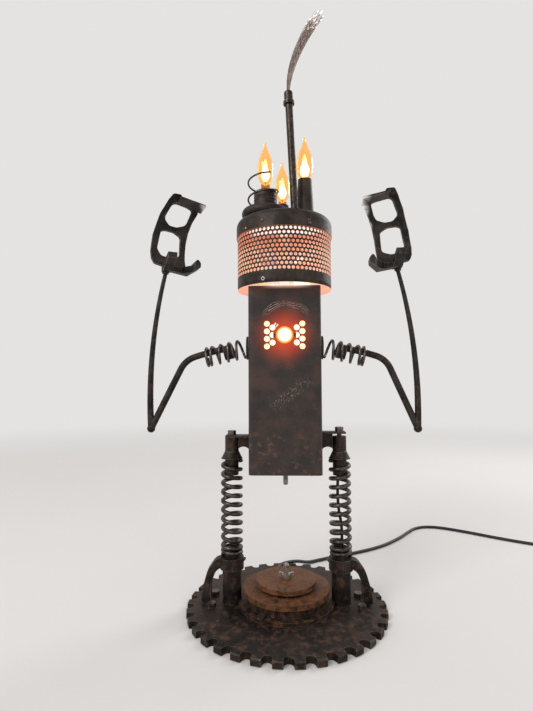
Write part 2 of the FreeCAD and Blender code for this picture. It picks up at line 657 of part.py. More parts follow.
def leg_tops():
    """The sleeves, straps, gussets and bolts by which the body stands on its legs."""
    bolts = []
    for label, side, strap, drop in (("left", -1, size("LeftStrap"), 0),
                                     ("right", 1, size("RightStrap"), size("RightSleeveDrop"))):
        x = leg_axis()
        wall = size("BodyWidth") / 2
        low = size("SleeveBottom")
        top = strap - drop
        sleeve = Part.makeCylinder(size("SleeveRadius"), top - low, Vector(x, 0, low))
        sleeve = sleeve.cut(Part.makeCylinder(size("SleeveBore"), (top - low) * 0.6, Vector(x, 0, low)))
        grip = size("BoltGrip")
        sleeve = sleeve.cut(Part.makeCylinder(size("BoltShank"), grip, Vector(x, 0, top - grip)))

        width = size("StrapWidth")
        thick = size("StrapThick")
        plate = Part.makeBox(x + size("StrapReach") - wall, width, thick, Vector(wall, -width / 2, strap))
        plate = plate.cut(Part.makeCylinder(size("BoltShank"), thick, Vector(x, 0, strap)))
        gusset_thick = size("GussetThick")
        near = x - size("SleeveRadius")
        arch = size("GussetArch")
        low_edge = size("GussetBottom")
        lines = [Part.LineSegment(Vector(wall, 0, strap), Vector(wall, 0, low_edge)).toShape(),
                 Part.Arc(Vector(wall, 0, low_edge), Vector((wall + near) / 2, 0, low_edge + arch),
                          Vector(near, 0, low_edge + arch * 0.6)).toShape(),
                 Part.LineSegment(Vector(near, 0, low_edge + arch * 0.6), Vector(near, 0, strap)).toShape(),
                 Part.LineSegment(Vector(near, 0, strap), Vector(wall, 0, strap)).toShape()]
        gusset = Part.Face(Part.Wire(lines)).extrude(Vector(0, gusset_thick, 0))
        gusset.translate(Vector(0, -gusset_thick / 2, 0))
        bracket = plate.fuse(gusset)

        head_seat = strap + thick
        bolt = hexagon(size("BoltFlats"), size("BoltHead"), Vector(x, 0, head_seat))
        shank = Part.makeCylinder(size("BoltShank"), head_seat - top + grip, Vector(x, 0, top - grip))
        bolt = bolt.fuse(shank)
        shapes = [sleeve, bracket, bolt]
        if side < 0:
            shapes = [shape.mirror(Vector(), Vector(1, 0, 0)) for shape in shapes]
        feature(label + "_leg_sleeve", shapes[0].removeSplitter())
        feature(label + "_leg_bracket", shapes[1].removeSplitter())
        bolts.append(shapes[2].removeSplitter())
    feature("leg_bolts", Part.makeCompound(bolts))


def upright_block(width, depth, corner, low, top):
    """A rectangular bar on the Z axis with rounded upright edges."""
    block = Part.makeBox(width, depth, top - low, Vector(-width / 2, -depth / 2, low))
    upright = [edge for edge in block.Edges if abs(edge.BoundBox.ZLength - (top - low)) < 0.01]
    return block.makeFillet(corner, upright)


def plate_blank(seat):
    """A plate that fits inside the body tube, with the tie rod's hole."""
    inset = 2 * (size("BodyWall") + size("PlateFit"))
    thick = size("PlateThick")
    blank = upright_block(size("BodyWidth") - inset, size("BodyDepth") - inset,
                          size("BodyCorner") - size("BodyWall"), seat, seat + thick)
    return blank.cut(Part.makeCylinder(size("RodRadius"), thick, Vector(0, 0, seat)))


def body():
    """The body: a rectangular tube with its face holes, two end plates and the tie rod."""
    width = size("BodyWidth")
    depth = size("BodyDepth")
    wall = size("BodyWall")
    low = size("BodyBottom")
    top = size("BodyTop")
    corner = size("BodyCorner")
    shell = upright_block(width, depth, corner, low, top)
    shell = shell.cut(upright_block(width - 2 * wall, depth - 2 * wall, corner - wall, low, top))
    front = Vector(0, -1, 0)
    inside = wall - depth / 2
    drills = [Part.makeCylinder(size("EyeRadius"), 3 * wall, Vector(0, inside, size("EyeHeight")), front)]
    for side in (-1, 1):
        for column, count in (("OuterColumn", 4), ("InnerColumn", 3)):
            for index in range(count):
                rise = size("HoleHeight") + size("HolePitch") * ((count - 1) / 2 - index)
                spot = Vector(side * size(column), inside, rise)
                drills.append(Part.makeCylinder(size("HoleRadius"), 3 * wall, spot, front))
    feature("body_tube", shell.cut(drills))

    thick = size("PlateThick")
    rod = size("RodRadius")
    nut_flats = size("RodNutRadius") * math.sqrt(3)
    feature("body_bottom_plate", plate_blank(low + size("PlateInset")))
    feature("body_top_plate", plate_blank(top - size("PlateInset") - thick))
    bottom = size("RodBottom")
    end = top + 20
    bar = Part.makeCylinder(rod, end - bottom, Vector(0, 0, bottom))
    rims = [edge for edge in bar.Edges if edge.BoundBox.ZLength < 0.01 and edge.BoundBox.ZMin < bottom + 1]
    bar = bar.makeFillet(rod * 0.6, rims)
    nut = hexagon(nut_flats, size("RodNutHeight"), Vector(0, 0, low + size("PlateInset") + thick))
    feature("tie_rod", bar.fuse(nut).removeSplitter())


def eye():
    """The eye: a ring and barrel in the face, with a domed lens in front."""
    face = -size("BodyDepth") / 2
    height = size("EyeHeight")
    radius = size("EyeRadius")
    bezel = size("BezelRadius")
    thick = size("BezelThick")
    long = size("EyeBarrel")
    wall = size("EyeWall")
    fit = size("RunningFit")
    lens = radius - wall
    seat = thick * 0.4
    ring = turned([(lens, 0), (bezel, 0), (bezel - 0.8, thick), (lens, thick)])
    barrel = turned([(lens - 1, -long), (radius - fit, -long), (radius - fit, 0), (lens, 0), (lens, seat),
                     (lens - 1, seat)])
    back = Part.makeCylinder(lens, 2, Vector(0, 0, -long))
    frame = Placement(Vector(0, face, height), Rotation(Vector(1, 0, 0), 90))
    feature("eye_bezel", ring.fuse([barrel, back]).removeSplitter(), frame)
    bulge = size("EyeBulge")
    dome = (lens * lens + bulge * bulge) / (2 * bulge)
    glass = Part.makeSphere(dome, Vector(0, 0, thick + bulge - dome))
    glass = glass.common(Part.makeCylinder(lens - fit, bulge + thick, Vector(0, 0, seat)))
    feature("eye_lens", glass.removeSplitter(), frame)


def drum():
    """The head: a sheet band, a pressed cap over it, and the pipe that carries the cap."""
    radius = size("DrumRadius")
    wall = size("DrumWall")
    tall = "Sizes.BandTop - Sizes.DrumBottom"
    band = cylinder("BandOuter", "Sizes.DrumRadius", tall, z="Sizes.DrumBottom")
    hollow = cylinder("BandInner", "Sizes.DrumRadius - Sizes.DrumWall", tall, z="Sizes.DrumBottom")
    node("drum_band", cut("DrumBand", band, hollow))

    outer = radius + size("SheetFit") + wall
    top = size("DrumTop")
    skirt = size("SkirtBottom")
    bend = size("ShoulderRound")

    def pressing(rim, crown, turn, foot):
        lines = [Part.LineSegment(Vector(0, 0, foot), Vector(rim, 0, foot)).toShape(),
                 Part.LineSegment(Vector(rim, 0, foot), Vector(rim, 0, crown - turn)).toShape(),
                 Part.Arc(Vector(rim, 0, crown - turn),
                          Vector(rim - turn * (1 - math.sqrt(0.5)), 0, crown - turn * (1 - math.sqrt(0.5))),
                          Vector(rim - turn, 0, crown)).toShape(),
                 Part.LineSegment(Vector(rim - turn, 0, crown), Vector(0, 0, crown)).toShape(),
                 Part.LineSegment(Vector(0, 0, crown), Vector(0, 0, foot)).toShape()]
        return Part.Face(Part.Wire(lines)).revolve(Vector(), Vector(0, 0, 1), 360)

    cap = pressing(outer, top, bend, skirt)
    cap = cap.cut(pressing(outer - wall, top - wall, bend - wall, skirt))
    feature("drum_cap", cap)

    seat = size("BodyTop") - size("PlateInset")
    under = top - wall
    shelf = under - size("FlangeThick")
    pipe = turned([(size("RodRadius"), seat), (size("PipeRadius"), seat), (size("PipeRadius"), shelf),
                   (size("PipeFlange"), shelf), (size("PipeFlange"), under), (size("RodRadius"), under)])
    feature("centre_pipe", pipe)


def inner_lamp():
    """The socket and round bulb inside the drum, which light its holes."""
    x = size("InnerLampX")
    low = size("BodyTop") - size("PlateInset")
    tall = size("InnerSocketTall")
    radius = size("InnerSocketRadius")
    socket = Part.makeCylinder(radius, tall, Vector(x, 0, low))
    socket = socket.cut(Part.makeCylinder(radius - 3, tall - 8, Vector(x, 0, low + 8)))
    feature("inner_socket", socket)
    ball = size("InnerBulbRadius")
    neck = Part.makeCylinder(radius - 3.2, tall + 4, Vector(x, 0, low + 8))
    globe = Part.makeSphere(ball, Vector(x, 0, low + tall + ball - 1))
    above = Part.makeCylinder(ball + 1, 3 * ball, Vector(x, 0, low + tall + 0.2))
    feature("inner_bulb", neck.fuse(globe.common(above)).removeSplitter())


def bulb_profile(shrink):
    """The outline of a flame-shaped bulb from neck to tip, drawn in by an amount."""
    wide = size("BulbRadius") - shrink
    neck = size("BulbNeck") - shrink
    tall = size("BulbTall") - shrink
    sink = size("BulbSink")
    nipple = 1.9 - shrink * 0.9
    mouth = Vector(neck, 0, 0)
    belly = Vector(wide, 0, tall * 0.34)
    waist = Vector(wide * 0.5, 0, tall * 0.73)
    tip = [Vector(nipple, 0, tall * 0.91), Vector(nipple, 0, tall * 0.97), Vector(nipple * 0.5, 0, tall)]
    return [Part.LineSegment(Vector(neck, 0, -sink), mouth).toShape(),
            Part.Arc(mouth, Vector(wide * 0.87, 0, tall * 0.14), belly).toShape(),
            Part.Arc(belly, Vector(wide * 0.86, 0, tall * 0.55), waist).toShape(),
            Part.Arc(waist, Vector(wide * 0.29, 0, tall * 0.83), tip[0]).toShape(),
            Part.LineSegment(tip[0], tip[1]).toShape(),
            Part.Arc(tip[1], Vector(nipple * 0.85, 0, tall * 0.99), tip[2]).toShape(),
            Part.LineSegment(tip[2], Vector(0, 0, tall)).toShape()]


def flame_bulb(prefix, x, y, seat):
    """A clear flame bulb: its glass, and its screw base with the glowing flame plate."""
    sink = size("BulbSink")
    tall = size("BulbTall")
    axis = Vector(0, 0, 1)

    def solid(shrink):
        edges = bulb_profile(shrink)
        foot = Vector(0, 0, -sink)
        edges.append(Part.LineSegment(Vector(0, 0, tall - shrink), foot).toShape())
        edges.append(Part.LineSegment(foot, Vector(size("BulbNeck") - shrink, 0, -sink)).toShape())
        return Part.Face(Part.Wire(edges)).revolve(Vector(), axis, 360)

    spot = Placement(Vector(x, y, seat), Rotation())
    glass = solid(0).cut(solid(size("BulbGlass")))
    feature(prefix + "_bulb_glass", glass, spot)

    screw = size("BulbBase")
    base = Part.makeCylinder(size("BulbNeck") - 0.4, screw, Vector(0, 0, -sink - screw))
    stem = Part.makeCylinder(1.6, sink + 5, Vector(0, 0, -sink))
    wide = size("FlameRadius")
    high = size("FlameTall")
    foot = Vector(1.8, 0, 3)
    waist = Vector(wide * 0.55, 0, high * 0.62)
    tip = Vector(0.5, 0, high)
    edges = [Part.LineSegment(Vector(0, 0, 3), foot).toShape(),
             Part.Arc(foot, Vector(wide, 0, high * 0.33), waist).toShape(),
             Part.Arc(waist, Vector(wide * 0.42, 0, high * 0.82), tip).toShape(),
             Part.LineSegment(tip, Vector(0, 0, high)).toShape(),
             Part.LineSegment(Vector(0, 0, high), Vector(0, 0, 3)).toShape()]
    flame = Part.Face(Part.Wire(edges)).revolve(Vector(), axis, 360)
    feature(prefix + "_bulb_flame", base.fuse([stem, flame]).removeSplitter(), spot)


def candle(prefix, x, y):
    """A tapered candle tube on the cap, bored for its bulb."""
    seat = size("DrumTop")
    top = size("CandleTop")
    solid = Part.makeCone(size("CandleBase"), size("CandleTip"), top - seat, Vector(x, y, seat))
    deep = size("BulbSink") + size("BulbBase")
    solid = solid.cut(Part.makeCylinder(size("CandleBore"), deep, Vector(x, y, top - deep)))
    feature(prefix + "_candle", solid)
    flame_bulb(prefix, x, y, top)


def left_candle():
    """The left lamp: a rounded disc, a ribbed cup on it, and its flame bulb."""
    x = size("LeftCandleX")
    y = size("LeftCandleY")
    seat = size("DrumTop")
    thick = size("KnobThick")
    edge = thick / 2 - 0.5
    knob = Part.makeCylinder(size("KnobRadius"), thick, Vector(x, y, seat))
    rims = [item for item in knob.Edges if item.BoundBox.ZLength < 0.01]
    feature("round_disc", knob.makeFillet(edge, rims))

    low = seat + thick
    top = size("CupTop")
    radius = size("CupRadius")
    groove = size("CupRibDepth")
    count = int(size("CupRibs"))
    pitch = (top - low) / count
    outline = [(size("CandleBore"), low)]
    for index in range(count):
        foot = low + index * pitch
        outline += [(radius - groove, foot), (radius, foot + pitch * 0.35),
                    (radius, foot + pitch * 0.75)]
    outline += [(radius - groove, top), (size("CandleBore"), top)]
    cup = turned(outline)
    cup.translate(Vector(x, y, 0))
    feature("left_candle", cup)
    flame_bulb("left", x, y, top)


def wire_coil():
    """The loose wire coil round the cup, its foot on the rounded disc."""
    radius = size("CoilRadius")
    wire = size("CoilWire")
    pitch = size("CoilPitch")
    low = size("DrumTop") + size("KnobThick") + wire + size("SheetFit")
    x = size("LeftCandleX") - size("CoilOffset")
    y = size("LeftCandleY")
    last = size("CoilTurns") - 1 / 6

    def place_at(turn):
        angle = 2 * math.pi * (turn - last) - math.pi / 3
        return Vector(x + radius * math.cos(angle), y + radius * math.sin(angle), low + turn * pitch)

    edges = curve_edges(place_at, 0.0, last, 8)
    print("wire_coil least gap to itself %.2f" % least_gap(edges, wire, math.pi * radius))
    feature("wire_coil", tube(edges, wire, int(size("WireSides"))))


def aerial():
    """The leaning aerial tube, its nozzle and the tuft of light fibres."""
    radius = size("AerialRadius")
    long = size("AerialLong")
    ring = size("AerialRing")
    thick = size("AerialRingThick")
    spot = Placement(Vector(size("AerialX"), size("AerialY"), size("DrumTop")),
                     Rotation(Vector(0, 1, 0), -size("AerialLean")))
    bore = size("AerialBore")
    bar = turned([(bore, -1), (radius, -1), (radius, long - thick), (ring, long - thick), (ring, long),
                  (bore, long)])
    bar.Placement = spot
    corner = Vector(size("AerialX") - 40, size("AerialY") - 40, size("DrumTop") - 40)
    below = Part.makeBox(80, 80, 40, corner)
    feature("antenna_tube", bar.cut(below).removeSplitter())

    nozzle_radius = size("NozzleRadius")
    nozzle_long = size("NozzleLong")
    nozzle = Part.makeCylinder(nozzle_radius, nozzle_long, Vector(0, 0, long))
    rims = [edge for edge in nozzle.Edges
            if edge.BoundBox.ZLength < 0.01 and edge.BoundBox.ZMin > long + 1]
    nozzle = nozzle.makeFillet(3, rims)
    tuft = size("TuftRadius")
    nozzle = nozzle.cut(Part.makeCylinder(tuft + size("SheetFit"), 8, Vector(0, 0, long + nozzle_long - 8)))
    feature("antenna_nozzle", nozzle, spot)

    tall = size("TuftTall")
    bend = size("TuftBend")
    spread = size("TuftSpread")
    rings = []
    for share in (0, 0.25, 0.5, 0.75, 1):
        level = long + nozzle_long + (tall - 8) * share
        middle = Vector(bend * share ** 1.7, 0, level)
        slope = math.atan(bend * 1.7 * share ** 0.7 / tall)
        grow = tuft + (spread - tuft) * share ** 1.3
        circle = Part.Circle(middle, Vector(math.sin(slope), 0, math.cos(slope)), grow)
        rings.append(Part.Wire(circle.toShape()))
    lower = Part.makeCylinder(tuft, 8, Vector(0, 0, long + nozzle_long - 8))
    bundle = Part.makeLoft(rings, True, True)
    feature("fibre_bundle", lower.fuse(bundle).removeSplitter(), spot)


def arm_frame(side):
    """The start of a shoulder spring and the directions along it and up from it."""
    droop = math.radians(size("ShoulderDroop"))
    start = Vector(side * (size("BodyWidth") / 2 + size("ShoulderThick")), 0, size("ShoulderHeight"))
    along = Vector(side * math.cos(droop), 0, -math.sin(droop))
    upward = Vector(side * math.sin(droop), 0, math.cos(droop))
    return start, along, upward


def shoulder(prefix, side):
    """A round flange on the body's side and the coil spring that leaves it."""
    wall = side * size("BodyWidth") / 2
    gap = size("FaceGap")
    seat = Vector(wall + side * gap, 0, size("ShoulderHeight"))
    thick = size("ShoulderThick") - gap
    flange = Part.makeCylinder(size("ShoulderRadius"), thick, seat, Vector(side, 0, 0))
    feature(prefix + "_shoulder_flange", flange)

    start, along, upward = arm_frame(side)
    radius = size("ArmSpringRadius")
    wire = size("ArmSpringWire")
    turns = size("ArmSpringTurns")
    pitch = size("ArmSpringPitch")
    lead = wire + radius * math.sin(math.radians(size("ShoulderDroop"))) + size("SheetFit")

    def place_at(turn):
        distance = lead + min(turn, turns) * pitch + max(turn - turns, 0) * size("ArmEndPitch")
        angle = 2 * math.pi * turn
        sideways = Vector(0, radius * math.sin(angle), 0)
        return start + along * distance - upward * (radius * math.cos(angle)) + sideways

    edges = curve_edges(place_at, 0, turns, int(turns * 4))
    edges += curve_edges(place_at, turns, turns + size("ArmEndTurns"), int(size("ArmEndTurns") * 4))
    print(prefix, "shoulder spring least gap %.2f" % least_gap(edges, wire, 3 * math.pi * radius / 2))
    feature(prefix + "_shoulder_spring", tube(edges, wire, int(size("WireSides"))))


def arm(prefix, side):
    """The arm: plug, rod down to the elbow, and the tapered forearm welded at the elbow."""
    start, along, upward = arm_frame(1)
    plug_start = size("ArmPlugStart")
    plug_long = size("ArmPlugLong")
    plug = Part.makeCylinder(size("ArmPlugRadius"), plug_long, start + along * plug_start, along)
    rise = size("ArmRise")
    radius = size("ArmRadius")
    entry = start + along * (plug_start + plug_long * 0.5) + upward * rise
    mouth = start + along * (size("ArmSpringTurns") * size("ArmSpringPitch") + 8) + upward * rise
    name = prefix.capitalize()
    elbow = Vector(size(name + "ElbowX"), 0, size("ElbowZ"))
    wrist = Vector(size(name + "WristX"), 0, size("WristZ"))
    shoulder_bend = Vector(mouth.x + 32, 0, mouth.z - 10)
    points = [entry, mouth, shoulder_bend, elbow]
    edges, radii = bent_edges(points)
    upper = tube(edges, radius)
    bulge = (elbow + wrist) * 0.5 + Vector(size("ForearmBow"), 0, 0)
    spine = Part.Arc(elbow, bulge, wrist).toShape()
    rings = []
    for place_at, parameter, wide in ((elbow, spine.FirstParameter, radius),
                                      (wrist, spine.LastParameter, size("WristRadius"))):
        rings.append(Part.Wire(Part.Circle(place_at, spine.tangentAt(parameter), wide).toShape()))
    fore = Part.Wire(spine).makePipeShell(rings, True, False)
    knuckle = Part.makeSphere(radius * 1.25, elbow)
    shape = plug.fuse([upper, fore, knuckle])
    if side < 0:
        shape = shape.mirror(Vector(), Vector(1, 0, 0))
    feature(prefix + "_arm", shape.removeSplitter())


def hand(prefix, side):
    """The hand: a bowed casting with two windows, a bar in front of its top and a hook below."""
    name = prefix.capitalize()
    wrist = Vector(size(name + "WristX"), 0, size("WristZ"))
    thick = size("HandThick")
    bow = size("HandBow")
    back = size("HandBack")
    reach = size("HandReach")
    grow = size("HandTall") / 109.5

    def casting(outline, rounding, near, far):
        """An outline of places out from the head and up, from one depth to another in front."""
        corners = [wrist + Vector(x * grow, -near, z * grow) for x, z in outline]
        return rounded_face(corners, rounding).extrude(Vector(0, near - far, 0))

    plate = [(18, 10), (21.5, 19), (22, 31), (18.5, 57), (9.5, 87), (0.5, 103), (-5, 109.5), (-19, 109),
             (-16, 101), (-45, 96), (-46.5, 91), (-39.5, 78), (-34.5, 63), (-31, 45), (-28.4, 20),
             (-28, 1), (-5, 3)]
    upper = [(-37.5, 95), (-19, 101), (-7, 100), (3.5, 80), (-5, 71), (-16, 69.5), (-28, 73), (-32, 79)]
    lower = [(-23, 56), (-12, 62.5), (0, 64), (7, 62.5), (12.4, 35), (7, 24), (-8, 21), (-21, 25)]
    bar = [(-12, 99.8), (-12, 102.5), (-50, 94.5), (-51, 90.5)]
    hook = [(-2, -1.5), (-30, -6.5), (-42.5, 0.5), (-43, 7), (-38, 14), (-32, 4), (-2, 5)]
    middle = wrist + Vector(-150, back - bow, 48 * grow)
    across = Vector(1, 0, 0)
    curved = Part.makeCylinder(bow + thick / 2, 300, middle, across)
    curved = curved.cut(Part.makeCylinder(bow - thick / 2, 300, middle, across))
    shape = casting(plate, 5, -back - thick, bow - back).common(curved)
    for window in (upper, lower):
        shape = shape.cut(casting(window, size("HandWindowRound"), -back - thick, bow - back))
    sweep = [Vector(x * grow, -depth, -20 * grow) + wrist for x, depth in (
        (2, 3), (2, 12), (-20, 16), (-34, reach), (-48, reach), (-48, reach - 14), (-30, 4))]
    horn = Part.Face(Part.makePolygon(sweep + sweep[:1])).extrude(Vector(0, 0, 50 * grow))
    horn = horn.common(casting(hook, 2.5, 0, reach + 5))
    strap_side = [wrist + Vector(-7, -depth, z) for depth, z in (
        (-5, -1), (12, -1), (reach + 6, 10), (reach + 6, 18), (12, 11), (-5, 11))]
    strap = Part.Face(Part.makePolygon(strap_side + strap_side[:1])).extrude(Vector(13, 0, 0))
    collar = Part.makeCylinder(size("WristRadius") + 2, 7, wrist + Vector(1.2, 0, -4), Vector(-0.12, 0, 1))
    shape = shape.fuse([casting(bar, 1.6, back, reach), horn, strap, collar])
    shape.rotate(wrist, Vector(0, 0, 1), -size(name + "HandTurn"))
    if side < 0:
        shape = shape.mirror(Vector(), Vector(1, 0, 0))
    arm_shape = doc.getObject(prefix + "_arm").Shape
    feature(prefix + "_hand", shape.cut(arm_shape).removeSplitter())


def cord_route():
    """The places of the flexible cord, from the strain relief to the inline switch."""
    floor = size("CordRadius") + size("CordLift")
    exit_y = size("HubRadius") + size("ReliefLong")
    return [
        Vector(size("ReliefX"), exit_y, size("ReliefHeight")),
        Vector(-12, 114, 17.5), Vector(3, 141, 14.5), Vector(33, 161, 6), Vector(63, 176, floor),
        Vector(97, 191, floor), Vector(127, 206, floor), Vector(160, 225, floor), Vector(191, 248, floor),
        Vector(213, 271, floor), Vector(233, 293, floor), Vector(256, 325, floor), Vector(277, 352, floor),
        Vector(303, 364, floor), Vector(335, 359, floor), Vector(384, 328, floor), Vector(431, 292, floor),
        Vector(480, 262, floor), Vector(520, 243, floor), Vector(550, 230, floor),
    ]


def cord():
    """The strain relief and the cord's free stretch over the table."""
    relief_x = size("ReliefX")
    height = size("ReliefHeight")
    radius = size("ReliefRadius")
    wall_y = math.sqrt(size("HubRadius") ** 2 - relief_x ** 2)
    end_y = size("HubRadius") + size("ReliefLong")
    body_cone = Part.makeCone(radius, size("CordRadius") + 0.6, end_y - wall_y + 3,
                              Vector(relief_x, wall_y - 3, height), Vector(0, 1, 0))
    hub_bar = Part.makeCylinder(size("HubRadius"), 40, Vector(0, 0, 0))
    feature("strain_relief", body_cone.cut(hub_bar).removeSplitter())

    route = cord_route()
    edges, radii = bent_edges(route)
    print("power_cord radii", [round(value, 1) for value in radii])
    print("power_cord length %.0f" % Part.Wire(edges).Length)
    feature("power_cord", tube(edges, size("CordRadius")))
    return route


def switch_and_coil(route):
    """The inline switch, the coil of spare cord and the plug, in one line past the cord's end."""
    end = route[-1]
    heading = end.sub(route[-2]).normalize()
    angle = math.degrees(math.atan2(heading.y, heading.x))
    frame = Placement(Vector(end.x, end.y, 0), Rotation(Vector(0, 0, 1), angle))
    long = size("SwitchLong")
    wide = size("SwitchWide")
    tall = size("SwitchTall")
    block = Part.makeBox(long, wide, tall, Vector(0, -wide / 2, 0))
    block = block.makeFillet(5, [edge for edge in block.Edges if edge.BoundBox.ZLength > tall - 0.1])
    block = block.makeFillet(2, [edge for edge in block.Edges if edge.BoundBox.ZMin > tall - 0.1])
    rocker_long = size("RockerLong")
    rocker_wide = size("RockerWide")
    gap = size("FaceGap")
    well = Part.makeBox(rocker_long + 2 * gap, rocker_wide + 2 * gap, 8,
                        Vector(long / 2 - rocker_long / 2 - gap, -rocker_wide / 2 - gap, tall - 8))
    feature("switch_body", block.cut(well), frame)
    pivot = Vector(long / 2, -rocker_wide / 2, tall - 2.5)
    across = Vector(0, 1, 0)
    rocker = Part.makeCylinder(rocker_long / 2, rocker_wide, pivot, across)
    keep = Part.makeBox(rocker_long, rocker_wide, 7.6, pivot - Vector(rocker_long / 2, 0, 3.5))
    over = pivot + Vector(0, 0, rocker_long * 1.02)
    scoop = Part.makeCylinder(rocker_long * 0.9, rocker_wide, over, across)
    feature("switch_rocker", rocker.common(keep).cut(scoop).removeSplitter(), frame)

    floor = size("CordRadius") + size("CordLift")
    step = size("LoopStep")
    turns = size("LoopTurns")
    middle = size("LoopMiddle")
    outside = middle + step * turns / 2
    inside = middle - step * turns / 2
    layer = size("LoopRise")
    centre = Vector(long + size("CoilLead"), outside, floor)

    def place_at(turn):
        """Spirals in on the table, climbs in half a turn, and spirals out on top."""
        if turn <= turns:
            radius = outside - step * turn
            rise = 0
        elif turn <= turns + 0.5:
            radius = inside
            share = (turn - turns) / 0.5
            rise = layer * (3 * share ** 2 - 2 * share ** 3)
        else:
            radius = inside + step * (turn - turns - 0.5)
            rise = layer
        swing = 2 * math.pi * turn - math.pi / 2
        return centre + Vector(radius * math.cos(swing), radius * math.sin(swing), rise)

    total = 2 * turns + 0.5
    edges = curve_edges(place_at, 0.0, turns, int(turns * 4))
    edges += curve_edges(place_at, turns, turns + 0.5, 4)
    edges += curve_edges(place_at, turns + 0.5, total, int(turns * 4))
    begin = place_at(0.0)
    leave = place_at(total)
    ahead = leave.sub(place_at(total - 1e-4)).normalize()
    lead_in = Part.LineSegment(Vector(long, begin.y, begin.z), begin).toShape()
    out = leave + ahead * size("CoilLead")
    lead_out = Part.LineSegment(leave, out).toShape()
    print("cord_coil least gap to itself %.2f" % least_gap(edges, size("CordRadius"), math.pi * inside))
    print("cord_coil length %.0f" % Part.Wire([lead_in] + edges + [lead_out]).Length)
    wound = tube([lead_in] + edges + [lead_out], size("CordRadius"), int(size("WireSides")))
    feature("cord_coil", wound, frame)

    plug_long = size("PlugLong")
    plug_wide = size("PlugWide")
    plug_tall = size("PlugTall")
    plug_angle = math.degrees(math.atan2(ahead.y, ahead.x))
    seat = Placement(Vector(out.x, out.y, out.z - plug_tall / 2), Rotation(Vector(0, 0, 1), plug_angle))
    plug_frame = frame.multiply(seat)
    shell = Part.makeBox(plug_long, plug_wide, plug_tall, Vector(0, -plug_wide / 2, 0))
    shell = shell.makeFillet(4, [edge for edge in shell.Edges if edge.BoundBox.XLength > plug_long - 0.1])
    feature("plug_body", shell, plug_frame)
    blades = []
    for offset in (-1, 1):
        corner = Vector(plug_long, offset * size("BladeSpacing") / 2 - size("BladeThick") / 2,
                        plug_tall / 2 - size("BladeWide") / 2)
        blades.append(Part.makeBox(size("BladeLong"), size("BladeThick"), size("BladeWide"), corner))
    feature("plug_blades", Part.makeCompound(blades), plug_frame)


base_wheel()
hub()
wing_nut()
for leg_name, leg_side in (("left", -1), ("right", 1)):
    leg_post(leg_name + "_post", leg_side)
    foot_bracket(leg_name + "_foot_bracket", leg_side)
    leg_spring(leg_name + "_leg_spring", leg_side)
foot_bolts()
leg_wire()
leg_tops()
body()
eye()
drum()
inner_lamp()
candle("right", size("RightCandleX"), size("RightCandleY"))
candle("middle", size("MiddleCandleX"), size("MiddleCandleY"))
left_candle()
wire_coil()
aerial()
for arm_name, arm_side in (("left", -1), ("right", 1)):
    shoulder(arm_name, arm_side)
    arm(arm_name, arm_side)
    hand(arm_name, arm_side)
switch_and_coil(cord())
doc.recompute()

failed = [item.Label for item in doc.Objects if "Invalid" in item.State or "Error" in item.State]
for item in NODES:
    if item.Shape.isNull() or not item.Shape.isValid():
        failed.append(item.Label)
if failed:
    raise RuntimeError("not built: " + ", ".join(failed))
for item in NODES:
    item.Shape.exportStep("parts/%s.step" % item.Label)
print(len(NODES), "sub-parts written")
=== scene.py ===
# %% [markdown]
# # A robot table lamp made of machine parts
# The lamp stands on a toothed wheel, on two coil springs. Its head is a perforated drum with a lamp
# inside, three flame bulbs on top and an aerial with a tuft of light fibres. This lesson dresses the
# packed model: it lays the cord, winds the springs, punches the drum and paints every surface.

# %% Load the packed model
import math

import bpy
import numpy as np
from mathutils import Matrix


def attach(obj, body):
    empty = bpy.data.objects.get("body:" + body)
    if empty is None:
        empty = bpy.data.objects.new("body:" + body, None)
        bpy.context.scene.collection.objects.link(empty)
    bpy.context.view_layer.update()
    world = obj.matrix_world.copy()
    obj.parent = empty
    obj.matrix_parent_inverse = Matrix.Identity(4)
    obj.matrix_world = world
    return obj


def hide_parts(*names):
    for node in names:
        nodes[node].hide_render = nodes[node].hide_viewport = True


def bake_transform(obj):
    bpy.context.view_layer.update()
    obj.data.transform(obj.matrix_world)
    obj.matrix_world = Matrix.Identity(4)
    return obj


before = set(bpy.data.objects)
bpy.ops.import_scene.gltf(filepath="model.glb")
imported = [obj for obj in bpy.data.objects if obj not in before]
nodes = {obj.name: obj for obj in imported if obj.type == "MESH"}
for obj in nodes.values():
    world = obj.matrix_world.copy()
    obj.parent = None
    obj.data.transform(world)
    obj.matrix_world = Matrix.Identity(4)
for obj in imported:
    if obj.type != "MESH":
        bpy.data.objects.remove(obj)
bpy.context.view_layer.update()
MM = 0.001

# %% [markdown]
# The photograph is taken from low in front, 67 cm from the lamp's axis, with a wide lens. The lens is
# worked out from a focal length of 460.6 pixels in a picture 711 pixels tall, which is the long side.

# %% Camera
FOCAL_PIXELS = 460.6
PICTURE_TALL = 711
camera_data = bpy.data.cameras.new("camera")
camera_data.sensor_width = 36
camera_data.lens = FOCAL_PIXELS / PICTURE_TALL * camera_data.sensor_width
CAMERA_PLACE = (0, -0.6731, 0.3244)
CAMERA_TURN = (93.03, 0.27, 2.29)


def placed(name, data):
    """A new object in the scene, made of the data."""
    made = bpy.data.objects.new(name, data)
    bpy.context.scene.collection.objects.link(made)
    return made


camera = placed("camera", camera_data)
camera.location = CAMERA_PLACE
camera.rotation_euler = [math.radians(turn) for turn in CAMERA_TURN]
bpy.context.scene.camera = camera
print("camera lens: %.2f mm" % camera_data.lens)

# %% [markdown]
# The cord leaves the hub's back through its strain relief, drops to the table and wanders off to the
# right. It is one smooth NURBS line through the same places as the model's cord, with a round bevel.
# Past the picture's edge it meets an inline switch. The spare cord is wound beyond it, then the plug.

